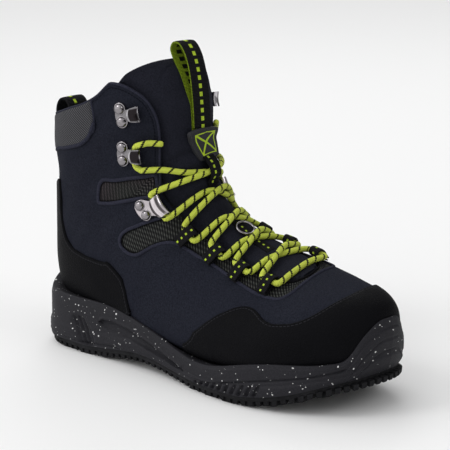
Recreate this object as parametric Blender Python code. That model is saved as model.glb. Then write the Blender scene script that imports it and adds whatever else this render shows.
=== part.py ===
"""Wading boot for the right foot, standing empty on its sole.

Metres, +X to the toe, +Y to the inner (big toe) side, +Z up. The origin is the
middle of the heel's contact with the ground. Every curved piece comes from one
foot form: form(s, a) with s from the toe (0) to the tongue's top (1) and a the
angle round a section, 0 on the front ridge, +90 on the outer side, 180 under
the foot or behind the heel, -90 on the inner side.
"""
import bpy
import bmesh
import numpy as np

# Driving sizes
LENGTH = 0.312          # sole, heel to toe
BALL_WIDTH = 0.114      # sole across the ball
UPPER_HEIGHT = 0.214    # from the ball's seat to the tongue's top
BALL_STACK = 0.022      # ground to the form's datum under the ball
HEEL_CENTRE = 0.040     # origin, measured from the back of the sole
WALL = 0.0024           # wall of the upper
GAP = 0.0004            # between curved pieces
LUG_DEPTH = 0.0040
TREAD = 0.0035          # slab above the lugs
TOE_SPRING = 0.0205
ARCH_RISE = 0.0057
BUMPER_HEIGHT = 0.066   # top of the toe bumper above the ground
TONGUE_PAD = 0.0065
OVERLAY = 0.0010
OVERLAY_GAP = 0.0015
INSOLE_RISE = 0.0045    # feather edge above the form's underside
LACE = 0.0040
HOOK_REACH = 0.0157     # hook's base to its curl
WEB = 0.0018            # webbing thickness
PULL_WIDTH = 0.0155
HEEL_PULL_WIDTH = 0.020

# Form sections, toe to tongue top, in hundredths: x of LENGTH, z of
# UPPER_HEIGHT above BALL_STACK, half widths and ridge_y of BALL_WIDTH.
# split is the height share where the section is widest, round_* the exponents.
FORM_COLUMNS = ("top_x", "top_z", "low_x", "low_z", "half_out", "half_in", "ridge_y",
                "split", "round_top", "round_low", "tilt")
FORM = np.array([
    (98.5, 18.7, 98.5, 9.6, 0.4, 0.4, 7.9, .50, 2.0, 2.0, 0),
    (97.9, 22.9, 97.9, 7.3, 13.6, 13.2, 7.9, .46, 2.2, 2.4, 0),
    (95.9, 25.7, 95.9, 5.3, 23.6, 21.6, 7.9, .43, 2.3, 2.8, .02),
    (91.9, 27.8, 91.9, 3.4, 33.6, 29.6, 7.0, .40, 2.4, 3.2, .06),
    (85.5, 29.0, 85.5, 1.6, 42.2, 37.2, 5.3, .38, 2.4, 3.8, .13),
    (78.2, 29.9, 78.8, 0.1, 47.4, 43.0, 4.4, .36, 2.3, 4.0, .22),
    (71.2, 31.3, 72.4, -0.7, 48.2, 45.6, 4.4, .34, 2.2, 4.0, .27),
    (64.1, 34.1, 64.7, -1.3, 46.9, 43.9, 4.4, .33, 2.1, 4.0, .27),
    (58.0, 37.9, 56.1, -1.5, 44.3, 40.8, 4.4, .32, 2.0, 4.0, .24),
    (52.9, 42.8, 46.5, -0.6, 41.7, 38.2, 4.4, .32, 2.0, 4.0, .18),
    (49.0, 48.6, 36.2, 1.2, 39.9, 36.8, 3.5, .33, 2.0, 3.8, .12),
    (46.8, 54.2, 26.3, 3.0, 39.0, 36.4, 3.5, .34, 2.1, 3.4, .06),
    (45.4, 59.6, 16.7, 4.0, 38.2, 36.4, 2.6, .37, 2.2, 3.0, .02),
    (44.6, 64.5, 9.0, 4.9, 37.7, 36.4, 2.6, .42, 2.3, 2.7, 0),
    (44.1, 69.2, 4.0, 8.2, 37.3, 36.4, 2.6, .45, 2.4, 2.5, 0),
    (43.8, 73.8, 1.8, 16.5, 37.3, 36.4, 2.6, .48, 2.4, 2.4, 0),
    (43.6, 78.5, 1.4, 29.0, 37.7, 37.3, 2.6, .50, 2.4, 2.3, 0),
    (43.3, 83.2, 1.9, 41.0, 39.0, 38.6, 2.6, .50, 2.4, 2.3, 0),
    (42.6, 87.9, 2.4, 52.0, 40.4, 39.9, 2.6, .50, 2.4, 2.3, 0),
    (41.3, 92.5, 2.7, 62.5, 41.2, 40.8, 2.6, .50, 2.4, 2.3, 0),
    (39.4, 96.7, 2.7, 72.9, 41.7, 41.2, 2.6, .50, 2.4, 2.3, 0),
    (36.5, 100.0, 2.6, 83.2, 41.7, 41.2, 2.6, .50, 2.4, 2.3, 0),
], float)

# Sole stations, heel to toe, in hundredths: x of LENGTH, half widths of
# BALL_WIDTH, wall top of BUMPER_HEIGHT, bottom of TOE_SPRING past the ball and
# of ARCH_RISE before it.
SOLE_COLUMNS = ("x", "y_out", "y_in", "wall_top", "bottom")
SOLE = np.array([
    (0.0, -1.5, 1.5, 78, 10), (0.5, -11.0, 11.0, 76, 10), (1.6, -20.0, 20.0, 70, 6),
    (4.0, -28.5, 28.5, 66, 0), (8.0, -34.5, 33.5, 65, 0), (14.5, -37.0, 36.0, 65, 0),
    (20.0, -37.5, 35.5, 65, 0), (26.0, -37.8, 35.0, 64.5, 35), (32.0, -38.5, 34.4, 61, 75),
    (38.0, -39.5, 34.2, 54, 100), (44.5, -41.0, 35.4, 46, 78), (51.0, -43.7, 38.0, 37.5, 35),
    (57.0, -46.8, 41.4, 33, 4), (62.5, -49.1, 44.8, 33.5, 0), (67.5, -50.3, 47.6, 38, 0),
    (72.5, -50.3, 49.2, 44, 0), (77.0, -49.2, 49.7, 48.5, 10), (81.5, -47.2, 49.4, 52, 23),
    (86.0, -43.8, 47.6, 54, 41), (90.0, -39.0, 44.4, 55.5, 61), (93.5, -32.6, 39.6, 57.5, 78),
    (96.3, -24.6, 33.0, 62, 88), (98.4, -14.8, 25.0, 84, 95), (99.6, -3.0, 16.5, 98, 99),
    (100.0, 7.2, 8.8, 100, 100)], float)
BALL_X = 0.70           # share of LENGTH where the bottom's share changes meaning

# Throat edge: s, outer angle, inner angle
THROAT = np.array([
    (.2450, 0, 0), (.2500, 8, 12), (.2600, 13, 19), (.2850, 17.5, 25), (.34, 20, 28), (.40, 23.5, 31),
    (.466, 31, 37), (.53, 38, 42), (.59, 42, 44), (.64, 41, 42), (.71, 39.5, 40), (.77, 39.5, 40),
    (.816, 41, 41), (.87, 46, 46), (.91, 54, 54), (.935, 61, 61), (.952, 67, 67),
], float)
COLLAR_S = 0.952
RAND = np.array([(.148, 0), (.151, 16), (.159, 30), (.176, 48), (.198, 58), (.229, 59), (.250, 56), (.278, 48),
                 (.299, 48), (.315, 53), (.332, 61), (.350, 70), (.367, 80), (.385, 91), (.400, 104)], float)
COUNTER = np.array([(.497, 106), (.508, 97), (.523, 91), (.56, 89), (.594, 91), (.659, 102), (.690, 110),
                    (.734, 121), (.767, 128), (.832, 128)], float)
HEEL_PATCH = np.array([(.868, 89), (.885, 88), (.91, 87), (.930, 86), (.944, 88)], float)


def table(rows, s):
    """Catmull-Rom through rows at s in 0..1."""
    n = len(rows) - 1
    k = np.clip(np.asarray(s, float) * n, 0, n)
    i = np.minimum(k.astype(int), n - 1)
    f = (k - i)[..., None]
    a, b = rows[i], rows[i + 1]
    before = np.where((i == 0)[..., None], 2 * a - b, rows[np.maximum(i - 1, 0)])
    after = np.where((i == n - 1)[..., None], 2 * b - a, rows[np.minimum(i + 2, n)])
    return 0.5 * (2 * a + (b - before) * f + (2 * before - 5 * a + 4 * b - after) * f * f
                  + (3 * a - before - 3 * b + after) * f ** 3)


def bare(s, a):
    """Point on the form, angle in radians."""
    s, a = np.broadcast_arrays(np.asarray(s, float), np.asarray(a, float))
    c = table(FORM, s)
    tx, tz, lx, lz, out, inn, ry, split, rt, rl, tilt = [c[..., j] for j in range(11)]
    ca, sa = np.cos(a), np.sin(a)
    p = np.where(ca >= 0, rt, rl)
    up = np.abs(ca) ** (2 / p)
    side = np.abs(sa) ** (2 / p)
    h = np.where(ca >= 0, split + (1 - split) * up, split * (1 - up))
    dy = -np.sign(sa) * np.where(sa >= 0, out, inn) * side * BALL_WIDTH / 100
    x = (lx + (tx - lx) * h) * LENGTH / 100 - HEEL_CENTRE
    y = ry * np.sqrt(h) * BALL_WIDTH / 100 + dy
    z = BALL_STACK + (lz + (tz - lz) * h) * UPPER_HEIGHT / 100 + tilt * dy * h
    return np.stack([x, y, z], -1)


def form(s, degrees, off=0.0):
    """Point on the form moved outwards by off; the outward way is s x a."""
    a = np.radians(np.asarray(degrees, float))
    s = np.asarray(s, float)
    s, a, off = np.broadcast_arrays(s, a, np.asarray(off, float))
    ds, da = 2e-3, 6e-3
    du = bare(np.minimum(s + ds, 1), a) - bare(np.maximum(s - ds, 0), a)
    dv = bare(s, a + da) - bare(s, a - da)
    n = np.cross(du, dv)
    n /= np.maximum(np.linalg.norm(n, axis=-1, keepdims=True), 1e-12)
    return bare(s, a) + n * off[..., None], n


def at(s, degrees, off=0.0):
    return form(s, degrees, off)[0]


def sole_at(x):
    """y_out, y_in, wall top and bottom at x, a share of LENGTH."""
    c = [np.interp(x, SOLE[:, 0] / 100, SOLE[:, j]) for j in (1, 2, 3, 4)]
    rise = np.where(x > BALL_X, TOE_SPRING, np.where(x > 0.2, ARCH_RISE, 0.012))
    return c[0] * BALL_WIDTH / 100, c[1] * BALL_WIDTH / 100, c[2] * BUMPER_HEIGHT / 100, c[3] * rise / 100


def bottom_at(x):
    """Ground side height at x in metres from the origin."""
    return sole_at((x + HEEL_CENTRE) / LENGTH)[3]


def rim(point):
    """Wall top at the place of the sole's outline nearest to a point."""
    best, found = 1e9, 0.0
    for column in (1, 2):
        xy = np.c_[SOLE[:, 0] / 100 * LENGTH - HEEL_CENTRE, SOLE[:, column] * BALL_WIDTH / 100]
        a, b = xy[:-1], xy[1:]
        t = np.clip(((point[:2] - a) * (b - a)).sum(1) / ((b - a) ** 2).sum(1), 0, 1)
        d = np.linalg.norm(a + (b - a) * t[:, None] - point[:2], axis=1)
        k = int(np.argmin(d))
        if d[k] < best:
            best, found = d[k], (SOLE[k, 3] * (1 - t[k]) + SOLE[k + 1, 3] * t[k]) * BUMPER_HEIGHT / 100
    return found


def angle_where(s, sign, height, low=88.0):
    """Angle below the widest line where the form's height meets height(point); 180 if it never does."""
    a, b = low, 180.0
    p = at(s, sign * b)
    if p[2] >= height(p):
        return 180.0
    for _ in range(24):
        m = (a + b) / 2
        p = at(s, sign * m)
        if p[2] > height(p):
            a = m
        else:
            b = m
    return a


def feather(s, sign):
    under = bare(np.array(min(s, .60)), np.array(np.pi))[2]
    return angle_where(s, sign, lambda p: under + INSOLE_RISE)


def material(name, colour, rough, metal=0.0):
    m = bpy.data.materials.get(name) or bpy.data.materials.new(name)
    m.use_nodes = True
    p = m.node_tree.nodes["Principled BSDF"]
    p.inputs["Base Color"].default_value = (*colour, 1)
    p.inputs["Roughness"].default_value = rough
    p.inputs["Metallic"].default_value = metal
    m.diffuse_color = (*colour, 1)
    return m


def add(name, points, faces, mat):
    points = np.asarray(points, float)
    mesh = bpy.data.meshes.new(name)
    mesh.from_pydata([tuple(p) for p in points], [], [tuple(int(i) for i in f) for f in faces])
    b = bmesh.new()
    b.from_mesh(mesh)
    bmesh.ops.remove_doubles(b, verts=b.verts, dist=2e-6)
    bmesh.ops.dissolve_degenerate(b, edges=b.edges, dist=1e-6)
    bmesh.ops.recalc_face_normals(b, faces=b.faces)
    if b.calc_volume(signed=True) < 0:
        bmesh.ops.reverse_faces(b, faces=b.faces)
    b.to_mesh(mesh)
    b.free()
    ob = bpy.data.objects.new(name, mesh)
    bpy.context.scene.collection.objects.link(ob)
    mesh.materials.append(mat)
    return ob


def boolean(ob, other, operation):
    mod = ob.modifiers.new(operation.lower(), "BOOLEAN")
    mod.operation = operation
    mod.solver = "EXACT"
    mod.object = other
    bpy.context.view_layer.update()
    done = bpy.data.meshes.new_from_object(ob.evaluated_get(bpy.context.evaluated_depsgraph_get()))
    ob.modifiers.clear()
    old = ob.data
    ob.data = done
    bpy.data.meshes.remove(old)
    bpy.data.objects.remove(other)


def thicken(outer, inner, faces):
    """Closed solid from two layers with the same faces; the rim joins their free edges."""
    n = len(outer)
    count = {}
    for f in faces:
        for i in range(len(f)):
            e = (f[i], f[(i + 1) % len(f)])
            if e[0] != e[1]:
                count[e] = count.get(e, 0) + 1
    made = [tuple(f) for f in faces] + [tuple(n + i for i in reversed(f)) for f in faces]
    for (a, b) in count:
        if (b, a) not in count:
            made.append((b, a, n + a, n + b))
    return np.vstack([outer, inner]), made


def patch_index(rows, cols, start, stop, nose=False):
    """Vertex numbers of two half grids, joined where both edges sit on the ridge, the back or the nose line."""
    index = np.zeros((2, rows, cols), int)
    total = 0
    for i in range(rows):
        for j in range(cols):
            index[0, i, j] = total
            total += 1
    for i in range(rows):
        for j in range(cols):
            joined = (nose and i == 0) or (j == 0 and start[0][i] == 0 and start[1][i] == 0) or \
                     (j == cols - 1 and stop[0][i] >= 180 and stop[1][i] >= 180)
            if joined:
                index[1, i, j] = index[0, i, j]
            else:
                index[1, i, j] = total
                total += 1
    return index, total


def half_columns(start, stop, cols, middle=None):
    """Angles from start to stop; with middle, a fixed angle splits them so neighbours share columns."""
    if middle is None:
        return np.linspace(start, stop, cols)
    na = int(round((cols - 1) * middle[1]))
    return np.concatenate([np.linspace(start, middle[0], na + 1), np.linspace(middle[0], stop, cols - na)[1:]])


def shell_faces(ss, start, stop, cols, middle=None, nose=False):
    index, total = patch_index(len(ss), cols, start, stop, nose)
    angles = np.zeros(total)
    spots = np.zeros(total)
    faces = []
    for side, sign in ((0, 1), (1, -1)):
        for i, s in enumerate(ss):
            column = half_columns(start[side][i], stop[side][i], cols, middle)
            for j in range(cols):
                k = index[side, i, j]
                if side == 1 and k < len(ss) * cols:
                    continue
                angles[k] = sign * column[j]
                spots[k] = s
        for i in range(len(ss) - 1):
            for j in range(cols - 1):
                q = (index[side, i, j], index[side, i + 1, j], index[side, i + 1, j + 1], index[side, i, j + 1])
                faces.append(q if side else q[::-1])
    return spots, angles, faces, index


def shell(name, ss, start, stop, cols, outer, inner, mat, middle=None):
    spots, angles, faces, _ = shell_faces(ss, start, stop, cols, middle)
    a = at(spots, angles, outer)
    b = at(spots, angles, inner)
    points, made = thicken(a, b, faces)
    return add(name, points, made, mat)


for ob in list(bpy.data.objects):
    bpy.data.objects.remove(ob, do_unlink=True)

SOFTSHELL = material("navy_softshell", (0.018, 0.020, 0.034), 0.85)
SYNTHETIC = material("black_synthetic", (0.008, 0.008, 0.010), 0.6)
RUBBER = material("black_rubber", (0.010, 0.010, 0.011), 0.75)
FOAM = material("charcoal_foam", (0.028, 0.029, 0.033), 0.7)
RIBBED = material("grey_ribbed_fabric", (0.06, 0.06, 0.065), 0.8)
WEBBING = material("black_webbing", (0.012, 0.012, 0.014), 0.8)
STEEL = material("nickel_steel", (0.55, 0.55, 0.57), 0.25, 1.0)
CORD = material("lime_cord", (0.40, 0.62, 0.03), 0.6)
LINING = material("black_lining", (0.015, 0.015, 0.018), 0.9)

# Upper
TOE_S = [0, .014, .038, .070, .105, .145, .185, .220, .245]
MID_S = [.2500, .2600, .2850, .315, .350, .385, .425, .466, .50, .535, .567, .595, .618, .636, .652]
SHAFT_S = [.668, .69, .72, .76, .80, .835, .87, .915, .952]
ss = np.array(TOE_S + MID_S + SHAFT_S)
start = [np.interp(ss, THROAT[:, 0], THROAT[:, j], left=0) for j in (1, 2)]
start = [np.where(ss <= .245, 0, v) for v in start]
stop = [np.array([feather(s, sign) for s in ss]) for sign in (1, -1)]
both = (stop[0] >= 180) | (stop[1] >= 180)
stop = [np.where(both, 180, v) for v in stop]
COLS = 13
MIDDLE = (88.0, 0.5)
spots, angles, faces, index = shell_faces(ss, start, stop, COLS, MIDDLE, True)


def layer(off):
    """The upper's points at an offset; the first row is one line at the toe's front."""
    points = at(spots, angles, off)
    nose = index[0, 0]
    points[nose] = (points[nose] + at(spots[nose], -angles[nose], off)) / 2
    return points


upper_out = layer(0.0)
upper_in = layer(-WALL)
points, made = thicken(upper_out, upper_in, faces)
add("upper", points, made, SOFTSHELL)


# The form's lower body, closed, at an offset: cuts the cup and the insole
def lower_body(name, off, mat, last=.80):
    keep = ss <= last
    n = int(keep.sum())
    pts = layer(off)
    found = []
    for side in (0, 1):
        for i in range(n - 1):
            for j in range(COLS - 1):
                q = (index[side, i, j], index[side, i + 1, j], index[side, i + 1, j + 1], index[side, i, j + 1])
                found.append(q if side else q[::-1])
    extra = []
    under = 3
    base = len(pts)
    rows_under = []
    for i in range(n):
        a, b = stop[0][i], stop[1][i]
        degrees = np.concatenate([np.linspace(a, 180, under + 1)[1:], -np.linspace(180, b, under + 1)[1:-1]])
        row = [index[0, i, COLS - 1]] + [base + len(extra) + k for k in range(len(degrees))] + [index[1, i, COLS - 1]]
        extra.extend(at(np.full(len(degrees), ss[i]), degrees, off))
        rows_under.append(row)
    pts = np.vstack([pts, np.array(extra)])
    # the first row closes on a line: both halves share it
    for k, v in enumerate(rows_under[0]):
        mirror = rows_under[0][len(rows_under[0]) - 1 - k]
        m = (pts[v] + pts[mirror]) / 2
        pts[v] = pts[mirror] = m
    for i in range(n - 1):
        a, b = rows_under[i], rows_under[i + 1]
        for k in range(len(a) - 1):
            found.append((a[k], a[k + 1], b[k + 1], b[k]))
        found.append((index[0, i, 0], index[1, i, 0], index[1, i + 1, 0], index[0, i + 1, 0]))
    loop = [index[0, n - 1, j] for j in range(COLS)] + rows_under[n - 1][1:-1] + \
           [index[1, n - 1, j] for j in range(COLS - 1, -1, -1)]
    found.append(tuple(dict.fromkeys(loop)))
    return add(name, pts, found, mat)


# Sole: rings of levels round the stations
def sole_block(name, levels, mat, shares=None):
    """levels: (height as a function of station, outset as a function of station) from low to high."""
    st = SOLE if shares is None else shares
    x = st[:, 0] / 100 * LENGTH - HEEL_CENTRE
    yo, yi, top, low = sole_at(st[:, 0] / 100)
    loop = np.vstack([np.c_[x, yo], np.c_[x, yi][::-1]])
    mid = len(x)
    ahead = np.roll(loop, -1, 0) - np.roll(loop, 1, 0)
    nrm = np.c_[ahead[:, 1], -ahead[:, 0]]
    nrm /= np.linalg.norm(nrm, axis=1, keepdims=True)
    top2, low2 = np.r_[top, top[::-1]], np.r_[low, low[::-1]]
    pts, found = [], []
    m = len(loop)
    for height, outset in levels:
        xy = loop + nrm * np.asarray(outset(loop[:, 0], top2, low2))[:, None]
        pts.append(np.c_[xy, height(loop[:, 0], top2, low2)])
    k = len(pts)
    pts = np.vstack(pts)
    for r in range(k - 1):
        for i in range(m):
            j = (i + 1) % m
            found.append((r * m + i, r * m + j, (r + 1) * m + j, (r + 1) * m + i))
    for i in range(mid - 1):
        a, b = i, i + 1
        c, d = m - 2 - i, m - 1 - i
        found.append((a, d, c, b))
        r = (k - 1) * m
        found.append((r + a, r + b, r + c, r + d))
    return add(name, pts, found, mat)


def flat(value):
    return lambda x, top, low: np.full(len(x), value)


def blend(share, drop=0.0):
    base = LUG_DEPTH + TREAD + 0.0003
    return lambda x, top, low: (low + base) + (top - low - base) * share - drop


def toe_in(value, inset=0.006):
    """Outset, plus an inset towards the toe where the rocker turns under."""
    return lambda x, top, low: value - inset * np.clip((x + HEEL_CENTRE - 0.80 * LENGTH) / (0.2 * LENGTH), 0, 1) ** 2


midsole = sole_block("midsole", [
    (blend(0.0), toe_in(0.0004)), (blend(0.28), toe_in(0.0016, 0.0026)), (blend(0.34), flat(0.0002)),
    (blend(1.0, 0.0018), flat(0.0002)), (blend(1.0), flat(-0.0016))], FOAM)
boolean(midsole, lower_body("cutter", GAP, FOAM), "DIFFERENCE")


def prism(name, corners, z0, z1, mat):
    """Upright prism; z0 and z1 are heights at each corner."""
    n = len(corners)
    corners = np.asarray(corners, float)
    z0 = np.broadcast_to(z0, n)
    z1 = np.broadcast_to(z1, n)
    pts = np.vstack([np.c_[corners, z0], np.c_[corners, z1]])
    faces = [tuple(range(n - 1, -1, -1)), tuple(range(n, 2 * n))]
    faces += [(i, (i + 1) % n, n + (i + 1) % n, n + i) for i in range(n)]
    return add(name, pts, faces, mat)


def beam(name, a, b, across, up, mat):
    """Box from a to b with half sizes along across and up."""
    a, b, across, up = [np.asarray(v, float) for v in (a, b, across, up)]
    pts = [p + i * across + j * up for p in (a, b) for i, j in ((-1, -1), (1, -1), (1, 1), (-1, 1))]
    faces = [(3, 2, 1, 0), (4, 5, 6, 7)] + [(i, (i + 1) % 4, 4 + (i + 1) % 4, 4 + i) for i in range(4)]
    return add(name, pts, faces, mat)


def sole_side(share, sign):
    yo, yi, top, low = sole_at(share)
    return yo if sign > 0 else yi, top, low


# Grooves in the heel's side, ribs by the ball
for sign in (1, -1):
    for share0, share1, h0, h1 in ((.060, .098, .0245, .0120), (.093, .131, .0260, .0135), (.126, .164, .0260, .0135)):
        ya, yb = sole_side(share0, sign)[0], sole_side(share1, sign)[0]
        out = -sign * 0.0030
        boolean(midsole, beam("cutter", (share0 * LENGTH - HEEL_CENTRE, ya + out, h0),
                              (share1 * LENGTH - HEEL_CENTRE, yb + out, h1), (0, 0.0042, 0), (0.0008, 0, 0.0011), FOAM),
                "DIFFERENCE")
    for k in range(4):
        share = .595 + .028 * k
        ya = sole_side(share, sign)[0]
        out = -sign * 0.0032
        boolean(midsole, beam("cutter", (share * LENGTH - HEEL_CENTRE, ya + out, 0.0175),
                              ((share - .012) * LENGTH - HEEL_CENTRE, ya + out, 0.0085), (0, 0.0040, 0),
                              (0.0007, 0, 0.0008), FOAM), "DIFFERENCE")

outsole = sole_block("outsole", [
    (lambda x, top, low: low + LUG_DEPTH, toe_in(-0.0006)),
    (lambda x, top, low: low + LUG_DEPTH + TREAD * .5, toe_in(0.0006)),
    (lambda x, top, low: low + LUG_DEPTH + TREAD, toe_in(0.0006))], RUBBER)


def lug(x0, x1, y0, y1, skew=0.0):
    """Lug from shares of LENGTH and metres across; the ground face follows the sole's bottom."""
    xa, xb = x0 * LENGTH - HEEL_CENTRE, x1 * LENGTH - HEEL_CENTRE
    corners = [(xa, y0), (xb, y0), (xb + skew, y1), (xa + skew, y1)]
    low = [float(bottom_at(np.array(c[0]))) for c in corners]
    if abs(max(low) - min(low)) < 2e-4:
        low = [min(low)] * 4
    return prism("lug", corners, low, [v + LUG_DEPTH + TREAD * .45 for v in low], RUBBER)


LUGS = []
EDGE = 0.0012
for x0, x1 in ((.030, .075), (.098, .140), (.163, .205), (.228, .268), (.560, .598), (.616, .654), (.672, .710),
               (.728, .766), (.784, .822), (.840, .878), (.896, .926)):
    mid = (x0 + x1) / 2
    for sign in (1, -1):
        ya = min(abs(sole_side(x0, sign)[0]), abs(sole_side(x1, sign)[0]))
        reach = 0.0018 + 0.0055 * np.clip((mid - .80) / .2, 0, 1)
        depth = 0.0165 if mid > .5 else 0.0135
        LUGS.append((x0, x1, -sign * (ya - reach - depth), -sign * (ya - reach), 0.0))
for x0, x1, y0, y1, skew in ((.090, .166, -.011, .011, 0), (.585, .625, -.016, .014, .004), (.645, .685, -.016, .015, .004),
                             (.705, .745, -.015, .017, .004), (.765, .805, -.013, .019, .004), (.825, .862, -.010, .021, .003),
                             (.930, .955, -.004, .022, 0), (.195, .232, -.010, .010, 0)):
    LUGS.append((x0, x1, y0, y1, skew))
for spec in LUGS:
    boolean(outsole, lug(*spec), "UNION")

# Insole
insole = lower_body("insole", 0.0, FOAM)
nose_x = float(bare(np.array(0.0), np.array(np.pi))[0])
slab_x = np.linspace(-HEEL_CENTRE - 0.01, nose_x - 0.016, 22)
under = []
for xx in slab_x:
    options = [(abs(float(bare(np.array(s), np.array(np.pi))[0]) - xx), s) for s in np.linspace(0, .60, 121)]
    s = min(options)[1]
    under.append(float(bare(np.array(s), np.array(np.pi))[2]))
top_z = np.array(under) + INSOLE_RISE - 0.0012
pts, found = [], []
for xx, zz in zip(slab_x, top_z):
    pts += [(xx, -.08, 0), (xx, .08, 0), (xx, .08, zz), (xx, -.08, zz)]
for i in range(len(slab_x) - 1):
    a = 4 * i
    found += [(a + k, a + (k + 1) % 4, a + 4 + (k + 1) % 4, a + 4 + k) for k in range(4)]
found += [(3, 2, 1, 0), tuple(4 * (len(slab_x) - 1) + k for k in range(4))]
boolean(insole, add("cutter", pts, found, FOAM), "INTERSECT")

# Overlays
above = lambda p: rim(p) + 0.0024


def overlay(name, rows, extra_front, extra_back, cols, mat):
    s_all = np.array(sorted(set(np.round(np.concatenate([extra_front, rows[:, 0], extra_back]), 4))))
    a0 = np.interp(s_all, rows[:, 0], rows[:, 1], left=0 if rows[0, 1] == 0 else rows[0, 1], right=rows[-1, 1])
    a0 = np.where((s_all <= rows[0, 0]) & (rows[0, 1] == 0), 0, a0)
    ends = []
    for sign in (1, -1):
        ends.append(np.array([angle_where(s, sign, above, 40.0) for s in s_all]))
    back = (ends[0] >= 180) | (ends[1] >= 180)
    ends = [np.where(back, 180, np.maximum(e, a0 + 1.5)) for e in ends]
    return shell(name, s_all, [a0, a0], ends, cols, OVERLAY_GAP + OVERLAY, OVERLAY_GAP, mat)


overlay("toe_rand", RAND, [.038, .070, .105], [], 6, SYNTHETIC)
overlay("heel_counter", COUNTER, [], [.636, .652, .668, .679, .705, .720, .80], 6, SYNTHETIC)
hp = HEEL_PATCH
shell("heel_patch", hp[:, 0], [hp[:, 1], hp[:, 1]], [np.full(len(hp), 180.0)] * 2, 6,
      OVERLAY_GAP + 0.0010, OVERLAY_GAP, RIBBED)

# Tongue
ts = np.array([.262, .285, .32, .36, .41, .466, .50, .535, .567, .60, .65, .71, .77, .83, .885, .93, .965, 1.0])
edge = np.interp(ts, THROAT[:, 0], THROAT[:, 1]), np.interp(ts, THROAT[:, 0], THROAT[:, 2])
wide = [np.interp(ts, [.262, .285, .35, .466, .59, .77, .90, .945, .97, 1.0], w) for w in
        ([20, 27, 34, 45, 56, 66, 75, 78, 70, 46], [26, 33, 40, 50, 58, 66, 75, 78, 70, 46])]
pts_out, pts_in = [], []
SHARE = np.array([-1, -.80, -.50, 0, .50, .80, 1])
thick = np.interp(ts, [.262, .35, .6, .9, 1.0], [.003, .0045, TONGUE_PAD, TONGUE_PAD, TONGUE_PAD])
for i, s in enumerate(ts):
    row_out, row_in = [], []
    for c in SHARE:
        a = c * (wide[0][i] if c > 0 else wide[1][i])
        rim = edge[0][i] if c > 0 else edge[1][i]
        reach = rim - 3.0 if s < .94 else 64 if s > .96 else 0
        lift = np.clip((reach - abs(a)) / 10, 0, 1)
        depth = WALL + 0.0010 - (WALL + 0.0007) * lift
        thin = thick[i] * (0.55 if abs(c) == 1 else 1)
        row_out.append(at(s, a, -depth))
        row_in.append(at(s, a, -(WALL + 0.0010) - thin))
    pts_out.append(row_out)
    pts_in.append(row_in)
nr, nc = len(ts), len(SHARE)
grid_faces = [(i * nc + j, (i + 1) * nc + j, (i + 1) * nc + j + 1, i * nc + j + 1) for i in range(nr - 1) for j in range(nc - 1)]
points, made = thicken(np.array(pts_out).reshape(-1, 3), np.array(pts_in).reshape(-1, 3), grid_faces)
add("tongue", points, made, SOFTSHELL)


def frame(s, degrees, off, turn=0.0):
    """Origin and axes on the form: toward the throat, up the form, outwards."""
    o, n = form(s, degrees, off)
    step = bare(np.array(min(s + .004, 1)), np.radians(degrees)) - bare(np.array(s - .004), np.radians(degrees))
    step -= n * (step @ n)
    step /= np.linalg.norm(step)
    side = np.cross(step, n)
    toward = side if degrees > 0 else -side
    if (bare(np.array(s), np.radians(degrees * .9)) - bare(np.array(s), np.radians(degrees))) @ toward < 0:
        toward = -toward
    t = np.radians(turn)
    return o, toward * np.cos(t) + step * np.sin(t), step * np.cos(t) - toward * np.sin(t), n


def ribbon(name, path, widths, thickness, across, mat, sides=None):
    """Strip swept along path; across is one vector or one per point."""
    path = np.asarray(path, float)
    n = len(path)
    across = np.broadcast_to(np.asarray(across, float), (n, 3))
    tangent = np.gradient(path, axis=0)
    tangent /= np.linalg.norm(tangent, axis=1, keepdims=True)
    up = np.cross(tangent, across)
    up /= np.linalg.norm(up, axis=1, keepdims=True)
    w = np.broadcast_to(widths, n)[:, None] / 2
    t = np.broadcast_to(thickness, n)[:, None] / 2
    rings = [path - across * w - up * t, path + across * w - up * t, path + across * w + up * t, path - across * w + up * t]
    pts = np.stack(rings, 1).reshape(-1, 3)
    faces = [(3, 2, 1, 0), tuple(4 * (n - 1) + k for k in range(4))]
    for i in range(n - 1):
        faces += [(4 * i + k, 4 * i + (k + 1) % 4, 4 * i + 4 + (k + 1) % 4, 4 * i + 4 + k) for k in range(4)]
    return add(name, pts, faces, mat)


def tube(name, path, diameter, mat, sides=5, closed=False):
    path = np.asarray(path, float)
    n = len(path)
    tangent = np.roll(path, -1, 0) - np.roll(path, 1, 0) if closed else np.gradient(path, axis=0)
    tangent /= np.linalg.norm(tangent, axis=1, keepdims=True)
    ref = np.array([0.0, 0.0, 1.0]) if abs(tangent[0, 2]) < .9 else np.array([1.0, 0, 0])
    pts, faces = [], []
    u = np.cross(tangent[0], ref)
    for i in range(n):
        u = u - tangent[i] * (u @ tangent[i])
        u /= np.linalg.norm(u)
        v = np.cross(tangent[i], u)
        for k in range(sides):
            a = 2 * np.pi * k / sides
            pts.append(path[i] + (u * np.cos(a) + v * np.sin(a)) * diameter / 2)
    last = n if closed else n - 1
    for i in range(last):
        j = (i + 1) % n
        faces += [(i * sides + k, i * sides + (k + 1) % sides, j * sides + (k + 1) % sides, j * sides + k) for k in range(sides)]
    if not closed:
        faces += [tuple(range(sides - 1, -1, -1)), tuple((n - 1) * sides + k for k in range(sides))]
    return add(name, pts, faces, mat)


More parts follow.
